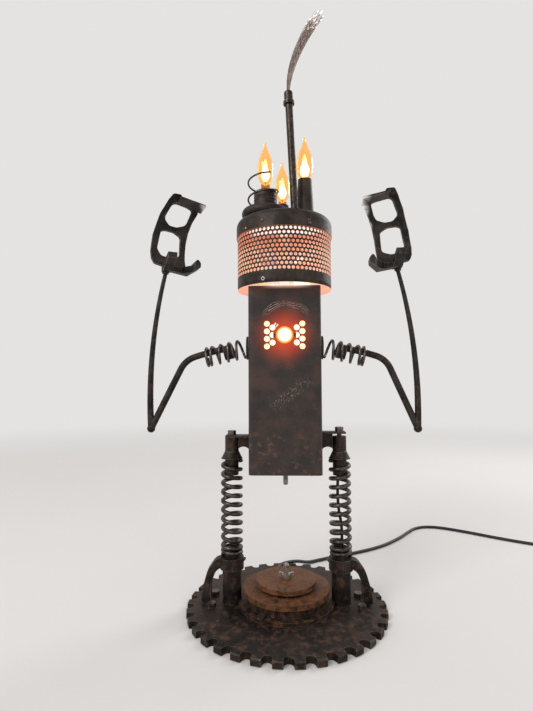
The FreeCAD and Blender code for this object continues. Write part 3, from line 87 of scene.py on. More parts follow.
# %% Cord on the table
CORD_RADIUS = 2.75
FLOOR_LINE = CORD_RADIUS + 0.15
BEVEL_SIDES = 4
RELIEF_END = (-12, 87, 19.5)
ROUTE = [RELIEF_END, (-12, 108, 17.5), (0, 128, 14.5), (20, 142, 12)]
ROUTE += [(x, y, FLOOR_LINE) for x, y in (
    (38, 158), (64, 174), (97, 190), (127, 206), (160, 225), (191, 248), (213, 271), (233, 293),
    (256, 325), (277, 352), (303, 364), (335, 359), (384, 328), (431, 292), (480, 262), (520, 243),
    (550, 230))]


def round_line(name, points, radius):
    """A NURBS line of order 3 whose control points are given in millimetres, with a round bevel."""
    curve = bpy.data.curves.new(name, "CURVE")
    curve.dimensions = "3D"
    spline = curve.splines.new("NURBS")
    spline.points.add(len(points) - 1)
    rows = np.column_stack([np.asarray(points, float) * MM, np.ones(len(points))])
    spline.points.foreach_set("co", rows.ravel())
    spline.points.foreach_set("radius", np.full(len(points), radius * MM))
    spline.order_u = 3
    spline.use_endpoint_u = True
    spline.resolution_u = 6
    curve.bevel_depth = 1.0 if radius else 0.0
    curve.bevel_resolution = BEVEL_SIDES
    curve.use_fill_caps = True
    print(name, "through", len(points), "places")
    return placed(name, curve)


table_cord = round_line("table_cord", ROUTE, CORD_RADIUS)

# %% [markdown]
# The spare cord is wound flat: it spirals in on the table, climbs onto itself in half a turn and
# spirals out again on top. The turns are worked out as whole arrays, sixteen points to a turn.

# %% Spare cord
SWITCH_LONG = 56
COIL_LEAD = 40
LOOP_MIDDLE = 32.5
LOOP_STEP = 7
LOOP_RISE = 6.5
LOOP_TURNS = 2.25
POINTS_IN_TURN = 16


def beyond_switch(points):
    """Turns points from the switch's own directions to the table's: x runs on along the cord."""
    (x0, y0), (x1, y1) = ROUTE[-2][:2], ROUTE[-1][:2]
    ahead = np.array([x1 - x0, y1 - y0]) / math.hypot(x1 - x0, y1 - y0)
    across = np.array([-ahead[1], ahead[0]])
    flat = points[:, :1] * ahead + points[:, 1:2] * across + np.array([x1, y1])
    return np.column_stack([flat, points[:, 2]])


def spare_turns():
    """Radius falls by LOOP_STEP a turn, stays while the height climbs, then grows by as much."""
    total = 2 * LOOP_TURNS + 0.5
    turn = np.linspace(0, total, int(total * POINTS_IN_TURN) + 1)
    outside = LOOP_MIDDLE + LOOP_STEP * LOOP_TURNS / 2
    inside = LOOP_MIDDLE - LOOP_STEP * LOOP_TURNS / 2
    radius = inside + LOOP_STEP * (np.clip(LOOP_TURNS - turn, 0, None)
                                   + np.clip(turn - LOOP_TURNS - 0.5, 0, None))
    share = np.clip((turn - LOOP_TURNS) / 0.5, 0, 1)
    height = FLOOR_LINE + LOOP_RISE * (3 * share ** 2 - 2 * share ** 3)
    swing = 2 * np.pi * turn - np.pi / 2
    x = SWITCH_LONG + COIL_LEAD + radius * np.cos(swing)
    y = outside + radius * np.sin(swing)
    return np.column_stack([x, y, height])


turns = spare_turns()
heading = turns[-1] - turns[-2]
heading /= np.linalg.norm(heading)
lead_in = [(SWITCH_LONG, 0, FLOOR_LINE), (SWITCH_LONG + COIL_LEAD / 2, 0, FLOOR_LINE)]
lead_out = [turns[-1] + heading * COIL_LEAD / 2, turns[-1] + heading * COIL_LEAD]
spare_points = beyond_switch(np.vstack([lead_in, turns, lead_out]))
spare_cord = round_line("spare_cord", spare_points, CORD_RADIUS)
for line, node_name in ((table_cord, "power_cord"), (spare_cord, "cord_coil")):
    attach(line, "base")
    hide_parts(node_name)

# %% [markdown]
# A material is a sum of patterns. So that the sums read like arithmetic, a small class wraps a node's
# output and gives it Python's operators. Every node comes from one method, `node`.

# %% Arithmetic on patterns
class Pattern:
    """A value that varies over a surface: one output of one node."""

    def __init__(self, finish, socket):
        self.finish = finish
        self.socket = socket

    def __add__(self, other):
        return self.finish.sum("ADD", self, other)

    def __sub__(self, other):
        return self.finish.sum("SUBTRACT", self, other)

    def __mul__(self, other):
        return self.finish.sum("MULTIPLY", self, other)

    def __pow__(self, other):
        return self.finish.sum("POWER", self, other)

    def __gt__(self, other):
        return self.finish.sum("GREATER_THAN", self, other)

    def __lt__(self, other):
        return self.finish.sum("LESS_THAN", self, other)

    def __rsub__(self, other):
        return self.finish.sum("SUBTRACT", other, self)

    __radd__ = __add__
    __rmul__ = __mul__


print("patterns can be added, multiplied and compared")

# %% [markdown]
# A finish holds the nodes of one material. Its methods are the patterns that all finishes share: where
# the point lies, noise, smooth steps, mixed colours, sharp edges and a bump.

# %% A finish and its patterns
class Finish:
    """One procedural material, or the world's light, and the patterns that it is made of."""

    def __init__(self, name, kind="materials"):
        self.material = getattr(bpy.data, kind).new(name)
        self.material.use_nodes = True
        self.tree = self.material.node_tree
        self.tree.nodes.clear()

    def node(self, kind, settings=None, inputs=None, output=0):
        """Adds a node: its settings first, then its inputs."""
        made = self.tree.nodes.new(kind)
        for key, value in (settings or {}).items():
            setattr(made, key, value)
        for key, value in (inputs or {}).items():
            if isinstance(value, Pattern):
                self.tree.links.new(value.socket, made.inputs[key])
            else:
                made.inputs[key].default_value = value
        return Pattern(self, made.outputs[output]) if made.outputs else None

    def sum(self, operation, first, second=0):
        """One sum over patterns or numbers; those with one term leave the second out."""
        return self.node("ShaderNodeMath", {"operation": operation}, {0: first, 1: second})

    def place(self):
        """Where the point is on the object, in metres."""
        return self.node("ShaderNodeTexCoord", output="Object")

    def axis(self, which):
        """One of x, y and z, in metres."""
        return self.node("ShaderNodeSeparateXYZ", None, {0: self.place()}, "XYZ".index(which))

    def from_point(self, x, other, axes="XZ"):
        """Metres from x, z as seen from the front, or with "XY" from x, y as seen from above."""
        across = self.axis(axes[0]) - x
        along = self.axis(axes[1]) - other
        return (across * across + along * along) ** 0.5

    def gap(self, pattern, level):
        """How far a pattern is from a level, either way."""
        return self.sum("ABSOLUTE", pattern - level)

    def noise(self, grain, detail=4, rough=0.55, stretch=(1, 1, 1)):
        """Cloudy pattern whose spots are about `grain` millimetres wide."""
        turned = self.node("ShaderNodeMapping", None, {"Vector": self.place(), "Scale": stretch})
        settings = {"noise_dimensions": "3D"}
        inputs = {"Vector": turned, "Scale": 1 / (grain * MM), "Detail": detail, "Roughness": rough}
        return self.node("ShaderNodeTexNoise", settings, inputs)

    def between(self, pattern, low, high):
        """0 below low, 1 above high, and smooth between."""
        settings = {"interpolation_type": "SMOOTHSTEP"}
        inputs = {"Value": pattern, "From Min": low, "From Max": high}
        return self.node("ShaderNodeMapRange", settings, inputs)

    def patches(self, grain, detail, rough, low, high):
        """Noise sharpened into patches: 0 where it is below low, 1 where it is above high."""
        return self.between(self.noise(grain, detail, rough), low, high)

    def mix(self, share, first, second):
        """First colour where share is 0, second where it is 1."""
        inputs = {0: share}
        for key, colour in ((6, first), (7, second)):
            inputs[key] = colour if isinstance(colour, Pattern) else (*colour, 1)
        return self.node("ShaderNodeMix", {"data_type": "RGBA"}, inputs, output=2)

    def edges(self, radius):
        """1 along sharp edges: where a rounded normal leaves the flat one."""
        rounded = self.node("ShaderNodeBevel", {"samples": 4}, {"Radius": radius * MM})
        flat = self.node("ShaderNodeNewGeometry", output="Normal")
        inputs = {0: rounded, 1: flat}
        same = self.node("ShaderNodeVectorMath", {"operation": "DOT_PRODUCT"}, inputs, "Value")
        return self.between(1 - same, 0.01, 0.12)

    def bump(self, height, depth, strength=0.6):
        """A normal from a height pattern; depth in millimetres."""
        inputs = {"Height": height, "Distance": depth * MM, "Strength": strength}
        return self.node("ShaderNodeBump", None, inputs)

    def done(self, **inputs):
        """Ends the material in one shader, whose sockets are named with _ for a space."""
        named = {key.replace("_", " "): value for key, value in inputs.items()}
        for key in ("Base Color", "Emission Color"):
            if key in named and not isinstance(named[key], Pattern):
                named[key] = (*named[key], 1)
        shader = self.node("ShaderNodeBsdfPrincipled", None, named)
        self.node("ShaderNodeOutputMaterial", None, {"Surface": shader})
        print(self.material.name, "of", len(self.tree.nodes), "nodes")
        return self.material


def glowing(finish, base, glow, strength, rough, grain, **more):
    """Ends a finish that glows: a base, a slightly uneven roughness and its own light."""
    return finish.done(Base_Color=base, Roughness=rough + 0.1 * finish.noise(grain), Emission_Color=glow,
                       Emission_Strength=strength, **more)


print("a finish offers", ", ".join(key for key in vars(Finish) if "__" not in key))

# %% [markdown]
# Old iron is the lamp's main finish. Three things make it: a dark, cloudy colour, patches of rust that
# are rougher and less metallic, and edges where handling has rubbed the metal bright. The bright edges
# come from comparing the surface's normal with a rounded one.

# %% Iron
BARE_IRON = (0.34, 0.30, 0.26)
CHROME = (0.78, 0.75, 0.72)


def iron(name, dark, pale, rust, rusting=0.5, worn=0.5, spots=14, metal=0.75, pitted=0.25, polished=()):
    """Dark iron: `rusting` spreads the rust, `worn` rubs the edges, `polished` lists chromed places."""
    finish = Finish(name)
    cloud = finish.noise(spots * 2.4, 6, 0.62)
    grit = finish.noise(1.1, 5, 0.7)
    bloom = finish.patches(spots, 8, 0.66, 0.62 - 0.3 * rusting, 0.74 - 0.2 * rusting)
    scratch = finish.between(finish.noise(0.7, 2, 0.5, stretch=(1, 1, 0.03)), 0.66, 0.72)
    edge = finish.edges(1.2) * finish.between(grit + cloud, 0.75, 1.15) * worn
    colour = finish.mix(finish.between(cloud, 0.35, 0.7), dark, pale)
    orange = finish.mix(finish.between(grit, 0.35, 0.7), [0.45 * part for part in rust], rust)
    colour = finish.mix(bloom, colour, orange)
    colour = finish.mix(scratch * (0.35 * worn), colour, BARE_IRON)
    colour = finish.mix(edge, colour, BARE_IRON)
    rough = 0.42 + 0.28 * bloom + 0.22 * grit - 0.18 * edge
    metallic = metal - 0.6 * metal * bloom
    for x, z, reach in polished:
        chrome = finish.between(finish.from_point(x * MM, z * MM), reach * MM, 0.4 * reach * MM)
        chrome = chrome * finish.between(cloud + 0.4 * grit, 0.52, 0.66)
        colour = finish.mix(chrome, colour, CHROME)
        rough = rough - 0.26 * chrome
        metallic = metallic + 0.4 * chrome
    height = grit * 0.5 + cloud * 0.3 + bloom * 0.35 - finish.between(grit, 0.62, 0.5) * pitted
    return finish.done(Base_Color=colour, Roughness=rough, Metallic=metallic,
                       Normal=finish.bump(height, 0.35))


wheel_iron = iron("wheel_iron", (0.013, 0.011, 0.010), (0.046, 0.034, 0.027), (0.115, 0.050, 0.024),
                  rusting=0.5, worn=0.55, spots=11)
hub_iron = iron("hub_iron", (0.016, 0.012, 0.010), (0.055, 0.034, 0.022), (0.13, 0.055, 0.024),
                rusting=0.6, worn=0.5, spots=8)
disc_iron = iron("disc_iron", (0.038, 0.017, 0.008), (0.125, 0.050, 0.018), (0.27, 0.095, 0.026),
                 rusting=0.75, worn=0.35, spots=7, metal=0.45, pitted=0.7)
leg_iron = iron("leg_iron", (0.014, 0.012, 0.011), (0.048, 0.037, 0.030), (0.12, 0.050, 0.022),
                rusting=0.42, worn=0.6, spots=9)
arm_iron = iron("arm_iron", (0.015, 0.013, 0.012), (0.050, 0.041, 0.035), (0.11, 0.050, 0.024),
                rusting=0.3, worn=0.75, spots=9,
                polished=((115, 573, 13), (124, 552, 9), (-116, 571, 13), (-129, 560, 9)))
shoulder_iron = iron("shoulder_iron", (0.020, 0.017, 0.016), (0.060, 0.048, 0.040),
                     (0.16, 0.070, 0.030), rusting=0.4, worn=0.5)

# %% [markdown]
# The body tube is painted nearly black, and heat and handling have marked it: brown stains, pale arcs
# scraped round the top of the eye, a slanting scuff and mottled spots low down. The arcs come from a
# sine of the distance to a point. The red glow that the eye and its holes throw on the paint near them
# is painted on as the paint's own light, and so are the lit walls of the holes, a lit band at the body's
# top edge and two glowing slits beside the eye.

# %% Painted body
EYE_Z = 0.3864
BODY_FRONT = -0.0381
ARC_STEP = 0.0023
ARC_RADIUS = 0.0405
BODY_TOP = 0.4495


def slit(finish, x, z, turn, long, wide):
    """1 inside a short slanting mark of the given length and width, centred at x, z."""
    across = finish.axis("X") - x
    up = finish.axis("Z") - z
    ahead = across * math.cos(turn) + up * math.sin(turn)
    aside = up * math.cos(turn) - across * math.sin(turn)
    inside = finish.between(finish.gap(aside, 0), wide * 0.7, wide * 0.3)
    return finish.between(finish.gap(ahead, 0), long * 0.6, long * 0.4) * inside


def painted_body():
    """Black-brown paint with arcs and a scuff, and painted light round the eye, in its holes and at the
    top.
    """
    finish = Finish("body_paint")
    x, y, z = [finish.axis(which) for which in "XYZ"]
    stain = finish.noise(34, 7, 0.62)
    fine = finish.noise(3.5, 6, 0.65)
    front = y < BODY_FRONT + 0.002
    colour = finish.mix(finish.between(stain, 0.38, 0.68), (0.010, 0.008, 0.007), (0.050, 0.022, 0.014))
    rust = finish.patches(12, 8, 0.7, 0.60, 0.68)
    colour = finish.mix(rust * 0.6, colour, (0.11, 0.040, 0.018))

    far = finish.from_point(0.002, EYE_Z + 0.008) + 0.009 * finish.noise(17, 3)
    wave = finish.sum("SINE", far * (2 * math.pi / ARC_STEP))
    arcs = finish.between(wave, 0.35, 0.85)
    arcs = arcs * finish.between(finish.gap(far, ARC_RADIUS), 0.0060, 0.0018)
    arcs = arcs * finish.between(z, EYE_Z + 0.024, EYE_Z + 0.036)
    scuff = slit(finish, 0.008, 0.305, math.radians(38), 0.062, 0.016)
    spread = finish.noise(1.9, 4, 0.6, stretch=(1, 1, 0.6))
    scuff = scuff * finish.between(spread, 0.52, 0.62)
    scraped = front * (arcs * finish.between(fine, 0.36, 0.52) + scuff * 0.5)
    low = finish.between(z, 0.272, 0.236)
    mottle = finish.patches(7, 3, 0.5, 0.58, 0.66) * low * 0.55
    swirl = finish.node("ShaderNodeTexNoise", {"noise_dimensions": "3D"},
                        {"Vector": finish.place(), "Scale": 20, "Detail": 3, "Distortion": 2.4})
    hair = finish.between(finish.gap(swirl, 0.53), 0.008, 0.001) * finish.between(fine, 0.54, 0.64)
    colour = finish.mix(mottle, colour, (0.120, 0.052, 0.034))
    colour = finish.mix(hair * 0.35, colour, (0.20, 0.13, 0.10))
    colour = finish.mix(scraped * 0.8, colour, (0.36, 0.27, 0.22))
    edge = finish.edges(1.0) * finish.between(fine, 0.35, 0.6)
    colour = finish.mix(edge * 0.6, colour, (0.20, 0.13, 0.09))

    # Painted light: the eye's red glow on the paint round it, strongest close to the eye.
    near = finish.between(finish.from_point(0, EYE_Z), 0.056, 0.006) ** 1.9
    painted_glow = finish.mix(near * front, (0, 0, 0), (0.62, 0.040, 0.000))
    # Painted light: a salmon band at the top of the body's front, where light from under the drum falls.
    painted_gap_light = finish.between(z, BODY_TOP, BODY_TOP + 0.0065) ** 1.5
    painted_gap_light = painted_gap_light * finish.between(finish.gap(x, 0.004), 0.042, 0.010) * front
    painted_glow = finish.mix(painted_gap_light, painted_glow, (0.62, 0.36, 0.24))
    # Painted light: the walls of the holes in the face glow orange, as if lit by the glow behind them.
    wall = (finish.gap(x, 0) < 0.032) * (finish.gap(z, EYE_Z) < 0.024)
    wall = wall * (finish.gap(y, BODY_FRONT + 0.00165) < 0.0015)
    painted_glow = finish.mix(wall, painted_glow, (1.0, 0.26, 0.04))
    # Painted light: two small white-hot slits to the left above the eye.
    glowing_slits = (slit(finish, -0.0136, 0.4012, math.radians(50), 0.0052, 0.0020)
             + slit(finish, -0.0104, 0.3996, math.radians(50), 0.0046, 0.0018))
    painted_glow = finish.mix(glowing_slits * front, painted_glow, (1.0, 0.80, 0.62))
    rough = 0.34 + 0.25 * fine + 0.2 * rust - 0.08 * scraped
    height = fine * 0.6 + stain * 0.5 - scraped * 0.5
    return finish.done(Base_Color=colour, Roughness=rough, Metallic=0.25 + 0.5 * edge,
                       Coat_Weight=0.25 - 0.2 * rust, Normal=finish.bump(height, 0.25, 0.5),
                       Emission_Color=painted_glow, Emission_Strength=1.0)


body_paint = painted_body()

# %% [markdown]
# Springs, bolts and the aerial are steel that was never painted: brown in the hollows, grey and bright
# where it is touched. Turned and threaded parts get their fine rings from a wave along the axis.

# %% Steel
WAVE_TURN = 2 * math.pi / 20


def steel(name, dark, bright, dirt=0.5, rings=None):
    """Bare steel with dirt; `rings` gives a thread's pitch in millimetres, along z."""
    finish = Finish(name)
    cloud = finish.noise(6, 6, 0.6)
    grime = finish.patches(11, 7, 0.68, 0.62 - 0.25 * dirt, 0.75 - 0.15 * dirt)
    fine = finish.noise(0.6, 3, 0.6)
    edge = finish.edges(0.6)
    colour = finish.mix(finish.between(cloud, 0.3, 0.7), dark, bright)
    colour = finish.mix(grime * 0.8, colour, (0.085, 0.042, 0.020))
    colour = finish.mix(edge * 0.5, colour, (0.55, 0.52, 0.48))
    height = fine * 0.25 + cloud * 0.3
    depth = 0.12
    if rings:
        settings = {"wave_type": "BANDS", "bands_direction": "Z", "wave_profile": "TRI"}
        inputs = {"Vector": finish.place(), "Scale": WAVE_TURN / (rings * MM)}
        height = height * 0.3 + finish.node("ShaderNodeTexWave", settings, inputs, output=1)
        depth = 0.3
    return finish.done(Base_Color=colour, Roughness=0.3 + 0.3 * grime + 0.12 * fine,
                       Metallic=0.95 - 0.6 * grime, Normal=finish.bump(height, depth))


spring_steel = steel("spring_steel", (0.030, 0.025, 0.022), (0.125, 0.108, 0.096), dirt=0.45)
arm_spring_steel = steel("arm_spring_steel", (0.050, 0.042, 0.037), (0.19, 0.17, 0.15), dirt=0.45)
bolt_steel = steel("bolt_steel", (0.060, 0.048, 0.040), (0.17, 0.14, 0.12), dirt=0.6)
stud_steel = steel("stud_steel", (0.16, 0.14, 0.12), (0.42, 0.38, 0.33), dirt=0.35, rings=1.25)
nut_steel = steel("nut_steel", (0.30, 0.28, 0.25), (0.62, 0.59, 0.54), dirt=0.2)
pipe_steel = steel("pipe_steel", (0.022, 0.018, 0.016), (0.070, 0.058, 0.050), dirt=0.4)
blade_brass = steel("blade_brass", (0.52, 0.38, 0.15), (0.72, 0.55, 0.25), dirt=0.05)


def lit_bezel():
    """The brass ring round the eye, lit orange by the lamp that it holds, redder further out."""
    finish = Finish("lit_bezel")
    far = finish.from_point(0, EYE_Z) + 0.0008 * finish.noise(2)
    glow = finish.mix(finish.between(far, 0.0090, 0.0112), (1.0, 0.80, 0.30), (1.0, 0.34, 0.02))
    glow = finish.mix(finish.between(far, 0.0108, 0.0135), glow, (0.70, 0.07, 0.005))
    return glowing(finish, (0.42, 0.22, 0.09), glow, 1.0, 0.35, 1, Metallic=0.9)


eye_brass = lit_bezel()

# %% [markdown]
# Drum, cap and disc are sheet metal in a dark bronze. Inside, the drum is lit by its own lamp. Light
# that walls throw back and forth many times is slow to render, so the inner faces glow by themselves:
# salmon on the wall and near white under the cap, as the photograph shows through the holes.

# %% Sheet metal and its lit inside
def bronze(name, inside=None):
    """Dark bronze sheet. `inside` is a function of the finish that is 1 on faces lit from within."""
    finish = Finish(name)
    cloud = finish.noise(20, 6, 0.6)
    fine = finish.noise(1.6, 5, 0.65)
    edge = finish.edges(0.8) * finish.between(fine, 0.3, 0.6)
    colour = finish.mix(finish.between(cloud, 0.35, 0.7), (0.022, 0.017, 0.015), (0.062, 0.044, 0.034))
    rust = finish.patches(9, 8, 0.7, 0.61, 0.7)
    colour = finish.mix(rust * 0.6, colour, (0.12, 0.055, 0.028))
    colour = finish.mix(edge * 0.55, colour, (0.30, 0.22, 0.16))
    rough = 0.3 + 0.3 * fine + 0.1 * cloud
    normal = finish.bump(fine * 0.4 + cloud * 0.6, 0.2, 0.5)
    if inside is None:
        return finish.done(Base_Color=colour, Roughness=rough, Metallic=0.7, Normal=normal)
    lit, glow = inside(finish)
    glow = finish.mix(lit, (0, 0, 0), glow)
    return finish.done(Base_Color=colour, Roughness=rough, Metallic=0.7 - 0.7 * lit, Normal=normal,
                       Emission_Color=glow, Emission_Strength=1.0)


def glow_colours(finish, white_from=0.5535, white_back=0.047):
    """The colour of lit sheet: salmon walls, white under the cap and behind the gap over the body."""
    x, y, z = [finish.axis(which) for which in "XYZ"]
    height = z + 0.004 * finish.noise(7, 3)
    near = finish.between(finish.from_point(0.026, 0, "XY"), 0.085, 0.03)
    salmon = finish.mix(near + 0.4 * finish.noise(11, 4) - 0.2, (0.66, 0.205, 0.115), (0.86, 0.36, 0.23))
    hem = finish.between(height, 0.488, 0.476)
    glow = finish.mix(hem * 0.8, salmon, (0.92, 0.42, 0.30))
    foot = finish.between(height, 0.514, 0.508) * (1 - hem)
    glow = finish.mix(foot * 0.6, glow, (1.0, 0.66, 0.40))
    behind = hem * finish.between(y, -0.030, -0.020)
    wide = finish.gap(x, 0.004)
    glow = finish.mix(behind * finish.between(wide, 0.050, 0.036), glow, (1.0, 0.72, 0.16))
    glow = finish.mix(behind * finish.between(wide, 0.034, 0.022), glow, (1.0, 0.96, 0.88))
    white = finish.between(height, white_from, white_from + 0.003)
    white = white * finish.between(y, white_back + 0.003, white_back)
    return finish.mix(white, glow, (1.0, 0.95, 0.88))


def under_cap(finish):
    """1 on the cap's underside and the inner face of its skirt, whose corner is round."""
    outward = finish.sum("MAXIMUM", finish.from_point(0, 0, "XY") - 0.059)
    upward = finish.sum("MAXIMUM", finish.axis("Z") - 0.546)
    inner = (outward * outward + upward * upward) ** 0.5 < 0.0102
    return inner, glow_colours(finish)


bronze_sheet = bronze("bronze_sheet")
bronze_cap = bronze("bronze_cap", inside=under_cap)


def lit_wall(name, strength, white_from=0.5535):
    """What stands inside the drum: painted pale and lit from beside it."""
    finish = Finish(name)
    return glowing(finish, (0.20, 0.09, 0.06), glow_colours(finish, white_from), strength, 0.5, 4)


lit_paint = lit_wall("lit_paint", 1.0)
lit_pipe = lit_wall("lit_pipe", 0.85, 0.536)

# %% [markdown]
# The bulbs are clear glass with a plate inside shaped like a flame, which glows yellow-white and turns
# orange towards its foot. The eye is a pool of orange glass, white-hot in the middle.

# %% Lights
EYE_RADIUS = 0.0135


def clear_glass(name, tint):
    """Clear amber glass with a faint glow of its own, a little uneven as blown glass is."""
    finish = Finish(name)
    wavy = finish.noise(9, 2, 0.4)
    tone = finish.mix(wavy, tint, [min(1, part * 1.05) for part in tint])
    return finish.done(Base_Color=tone, Roughness=0.02, IOR=1.45, Transmission_Weight=1.0,
                       Normal=finish.bump(wavy, 0.15, 0.3), Emission_Color=(1.0, 0.36, 0.06),
                       Emission_Strength=0.07)


def lit_ball(name, middle, strength, hot=None):
    """A lit bulb or socket: cloudy, and white where its filament is, `hot` as x, z and radius."""
    finish = Finish(name)
    glow = finish.mix(finish.noise(8, 3), middle, [0.8 * part for part in middle])
    if hot:
        near = finish.between(finish.from_point(hot[0], hot[1]), hot[2], 0.6 * hot[2])
        glow = finish.mix(near, glow, (1.0, 0.96, 0.88))
    return glowing(finish, glow, glow, strength, 0.3, 2)


def flame_light(name, seat):
    """Brass below the candle's top; above it a glowing plate, hottest at a third of its height."""
    finish = Finish(name)
    height = finish.axis("Z") - seat
    plate = height > 0.0025
    hot = finish.between(height, 0.036, 0.014) * finish.between(height, 0.001, 0.009)
    glow = finish.mix(hot + 0.15 * finish.noise(3), (1.0, 0.46, 0.08), (1.0, 0.95, 0.80))
    base = finish.mix(plate, (0.55, 0.40, 0.16), (1.0, 0.75, 0.40))
    glow = finish.mix(plate, (0, 0, 0), glow)
    return glowing(finish, base, glow, 3.4, 0.35, 1, Metallic=0.9 - 0.9 * plate)


def lit_eye():
    """The eye's lens: nearly white in the middle, orange where its radius ends."""
    finish = Finish("eye_glow")
    far = finish.from_point(0, EYE_Z) + 0.0012 * finish.noise(2)
    share = finish.between(far, EYE_RADIUS * 0.45, EYE_RADIUS)
    glow = finish.mix(share, (1.0, 0.96, 0.80), (1.0, 0.42, 0.05))
    return glowing(finish, glow, glow, 1.8, 0.15, 3, Coat_Weight=0.6)


bulb_glass = clear_glass("bulb_glass", (1.0, 0.72, 0.40))
frosted = lit_ball("frosted", (0.80, 0.34, 0.21), 0.95, (0.0195, 0.5015, 0.0085))
lit_socket = lit_ball("lit_socket", (1.0, 0.93, 0.82), 1.0)
eye_glow = lit_eye()

# %% [markdown]
# Cord, plug and switch are rubber and plastic. Their grain is fine and their gloss soft.

# %% Rubber and plastic
def plastic(name, colour, rough=0.45, grain=0.5, coat=0.0):
    """Moulded plastic or rubber: nearly one colour, fine pebbles, a little dust."""
    finish = Finish(name)
    fine = finish.noise(grain, 3, 0.6)
    dust = finish.patches(14, 6, 0.7, 0.52, 0.75)
    tone = finish.mix(dust * 0.25, colour, (0.16, 0.13, 0.11))
    return finish.done(Base_Color=tone, Roughness=rough + 0.2 * dust + 0.1 * fine, Coat_Weight=coat,
                       Normal=finish.bump(fine, 0.05, 0.5))


cord_rubber = plastic("cord_rubber", (0.012, 0.011, 0.011), 0.42)
switch_plastic = plastic("switch_plastic", (0.016, 0.015, 0.015), 0.28, 0.8, 0.3)

# %% [markdown]
# Most metal pieces are already shaped in the packed model and only need a finish. One table says which
# nodes wear which, so that none is left out or painted twice.

# %% Paint the model's own pieces
def both(*names):
    """The nodes of these names on the left and on the right."""
    return [side + name for name in names for side in ("left_", "right_")]


PAINT = {
    wheel_iron: ["base_sprocket"],
    hub_iron: ["hub_drum"],
    disc_iron: ["hub_disc", "hub_cap"],
    stud_steel: ["hub_stud", "tie_rod"],
    nut_steel: ["wing_nut"],
    bolt_steel: ["foot_bolts", "leg_bolts"],
    leg_iron: both("post", "foot_bracket", "leg_bracket", "leg_sleeve"),
    body_paint: ["body_tube", "body_bottom_plate", "body_top_plate"],
    shoulder_iron: both("shoulder_flange"),
    arm_iron: both("arm", "hand"),
    bronze_sheet: ["round_disc", "middle_candle"] + both("candle"),
    bronze_cap: ["drum_cap"],
    eye_brass: ["eye_bezel"],
    eye_glow: ["eye_lens"],
    bulb_glass: ["middle_bulb_glass"] + both("bulb_glass"),
    flame_light("flame_right", 0.609): ["middle_bulb_flame"] + both("bulb_flame"),
    frosted: ["inner_bulb"],
    lit_socket: ["inner_socket"],
    lit_pipe: ["centre_pipe"],
    pipe_steel: ["antenna_tube", "antenna_nozzle"],
    switch_plastic: ["switch_body", "switch_rocker"],
    cord_rubber: ["strain_relief", "plug_body"],
    blade_brass: ["plug_blades"],
}
for finish_material, names in PAINT.items():
    for name in names:
        nodes[name].data.materials.clear()
        nodes[name].data.materials.append(finish_material)
for line in (table_cord, spare_cord):
    line.data.materials.append(cord_rubber)
print("painted", sum(len(names) for names in PAINT.values()), "nodes in", len(PAINT), "finishes")

# %% [markdown]
# Wound wire, rings and fibres are all one surface: a circle carried along a path. The two directions
# across the path come from its heading and one fixed direction that it never points along.

# %% Surfaces from arrays
def mesh_piece(name, points, faces, finish_material, body=None, smooth=True):
    """Puts arrays of places (metres) and faces into a mesh, and the mesh into the scene."""
    mesh = bpy.data.meshes.new(name)
    mesh.from_pydata(points.tolist(), [], [face for block in faces for face in block.tolist()])
    mesh.polygons.foreach_set("use_smooth", np.full(len(mesh.polygons), smooth))
    mesh.materials.append(finish_material)
    mesh.update()
    piece = placed(name, mesh)
    if body:
        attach(piece, body)
    print(name, "of", len(mesh.polygons), "faces, up to %.1f mm" % (points[:, 2].max() / MM))
    return piece


def grid_faces(rows, columns, around, first=0):
    """Quads between neighbours of a grid of points; `around` joins the last column to the first."""
    down, across = np.meshgrid(np.arange(rows - 1), np.arange(columns - (not around)), indexing="ij")
    beside = (across + 1) % columns
    quads = np.stack([down * columns + across, down * columns + beside,
                      (down + 1) * columns + beside, (down + 1) * columns + across], axis=-1)
    return quads.reshape(-1, 4) + first


def carried_circle(path, radius, fixed, sides):
    """Points path + radius (cos a * out + sin a * side), where out and side are across the path."""
    ahead = np.gradient(path, axis=0)
    ahead /= np.linalg.norm(ahead, axis=1)[:, None]
    side = np.cross(ahead, fixed)
    side /= np.linalg.norm(side, axis=1)[:, None]
    out = np.cross(side, ahead)
    angle = np.arange(sides) * 2 * np.pi / sides
    circle = np.cos(angle)[None, :, None] * out[:, None] + np.sin(angle)[None, :, None] * side[:, None]
    return path[:, None] + radius * circle


def wound(name, path, radius, fixed, finish_material, sides, body=None):
    """A wire along a path in millimetres, with flat ends."""
    rings = carried_circle(path, radius, np.array(fixed, float), sides)
    points = np.vstack([rings.reshape(-1, 3), path[0], path[-1]]) * MM
    first = np.arange(sides)
    following = (first + 1) % sides
    last = (len(path) - 1) * sides
    foot_centre, top_centre = len(points) - 2, len(points) - 1
    faces = [grid_faces(len(path), sides, True),
             np.column_stack([following, first, np.full(sides, foot_centre)]),
             np.column_stack([last + first, last + following, np.full(sides, top_centre)])]
    return mesh_piece(name, points, faces, finish_material, body)


# %% [markdown]
# The leg springs begin with two closed turns and then open out.

# %% Leg springs
LEG_X = 77.7
LEG_RADIUS = 13
LEG_WIRE = 3
LEG_LOW = 75.1
LEG_TOP = 208
CLOSED_TURNS = 2
OPEN_TURNS = 9.5
CLOSED_PITCH = 6.55
SIDES = (("left", -1), ("right", 1))


def helix(start, along, out, radius, angle, distance):
    """Points start + distance * along + radius * (cos angle * out + sin angle * y)."""
    circle = np.cos(angle)[:, None] * np.array(out) + np.sin(angle)[:, None] * np.array([0, 1, 0])
    return np.array(start) + distance[:, None] * np.array(along) + radius * circle


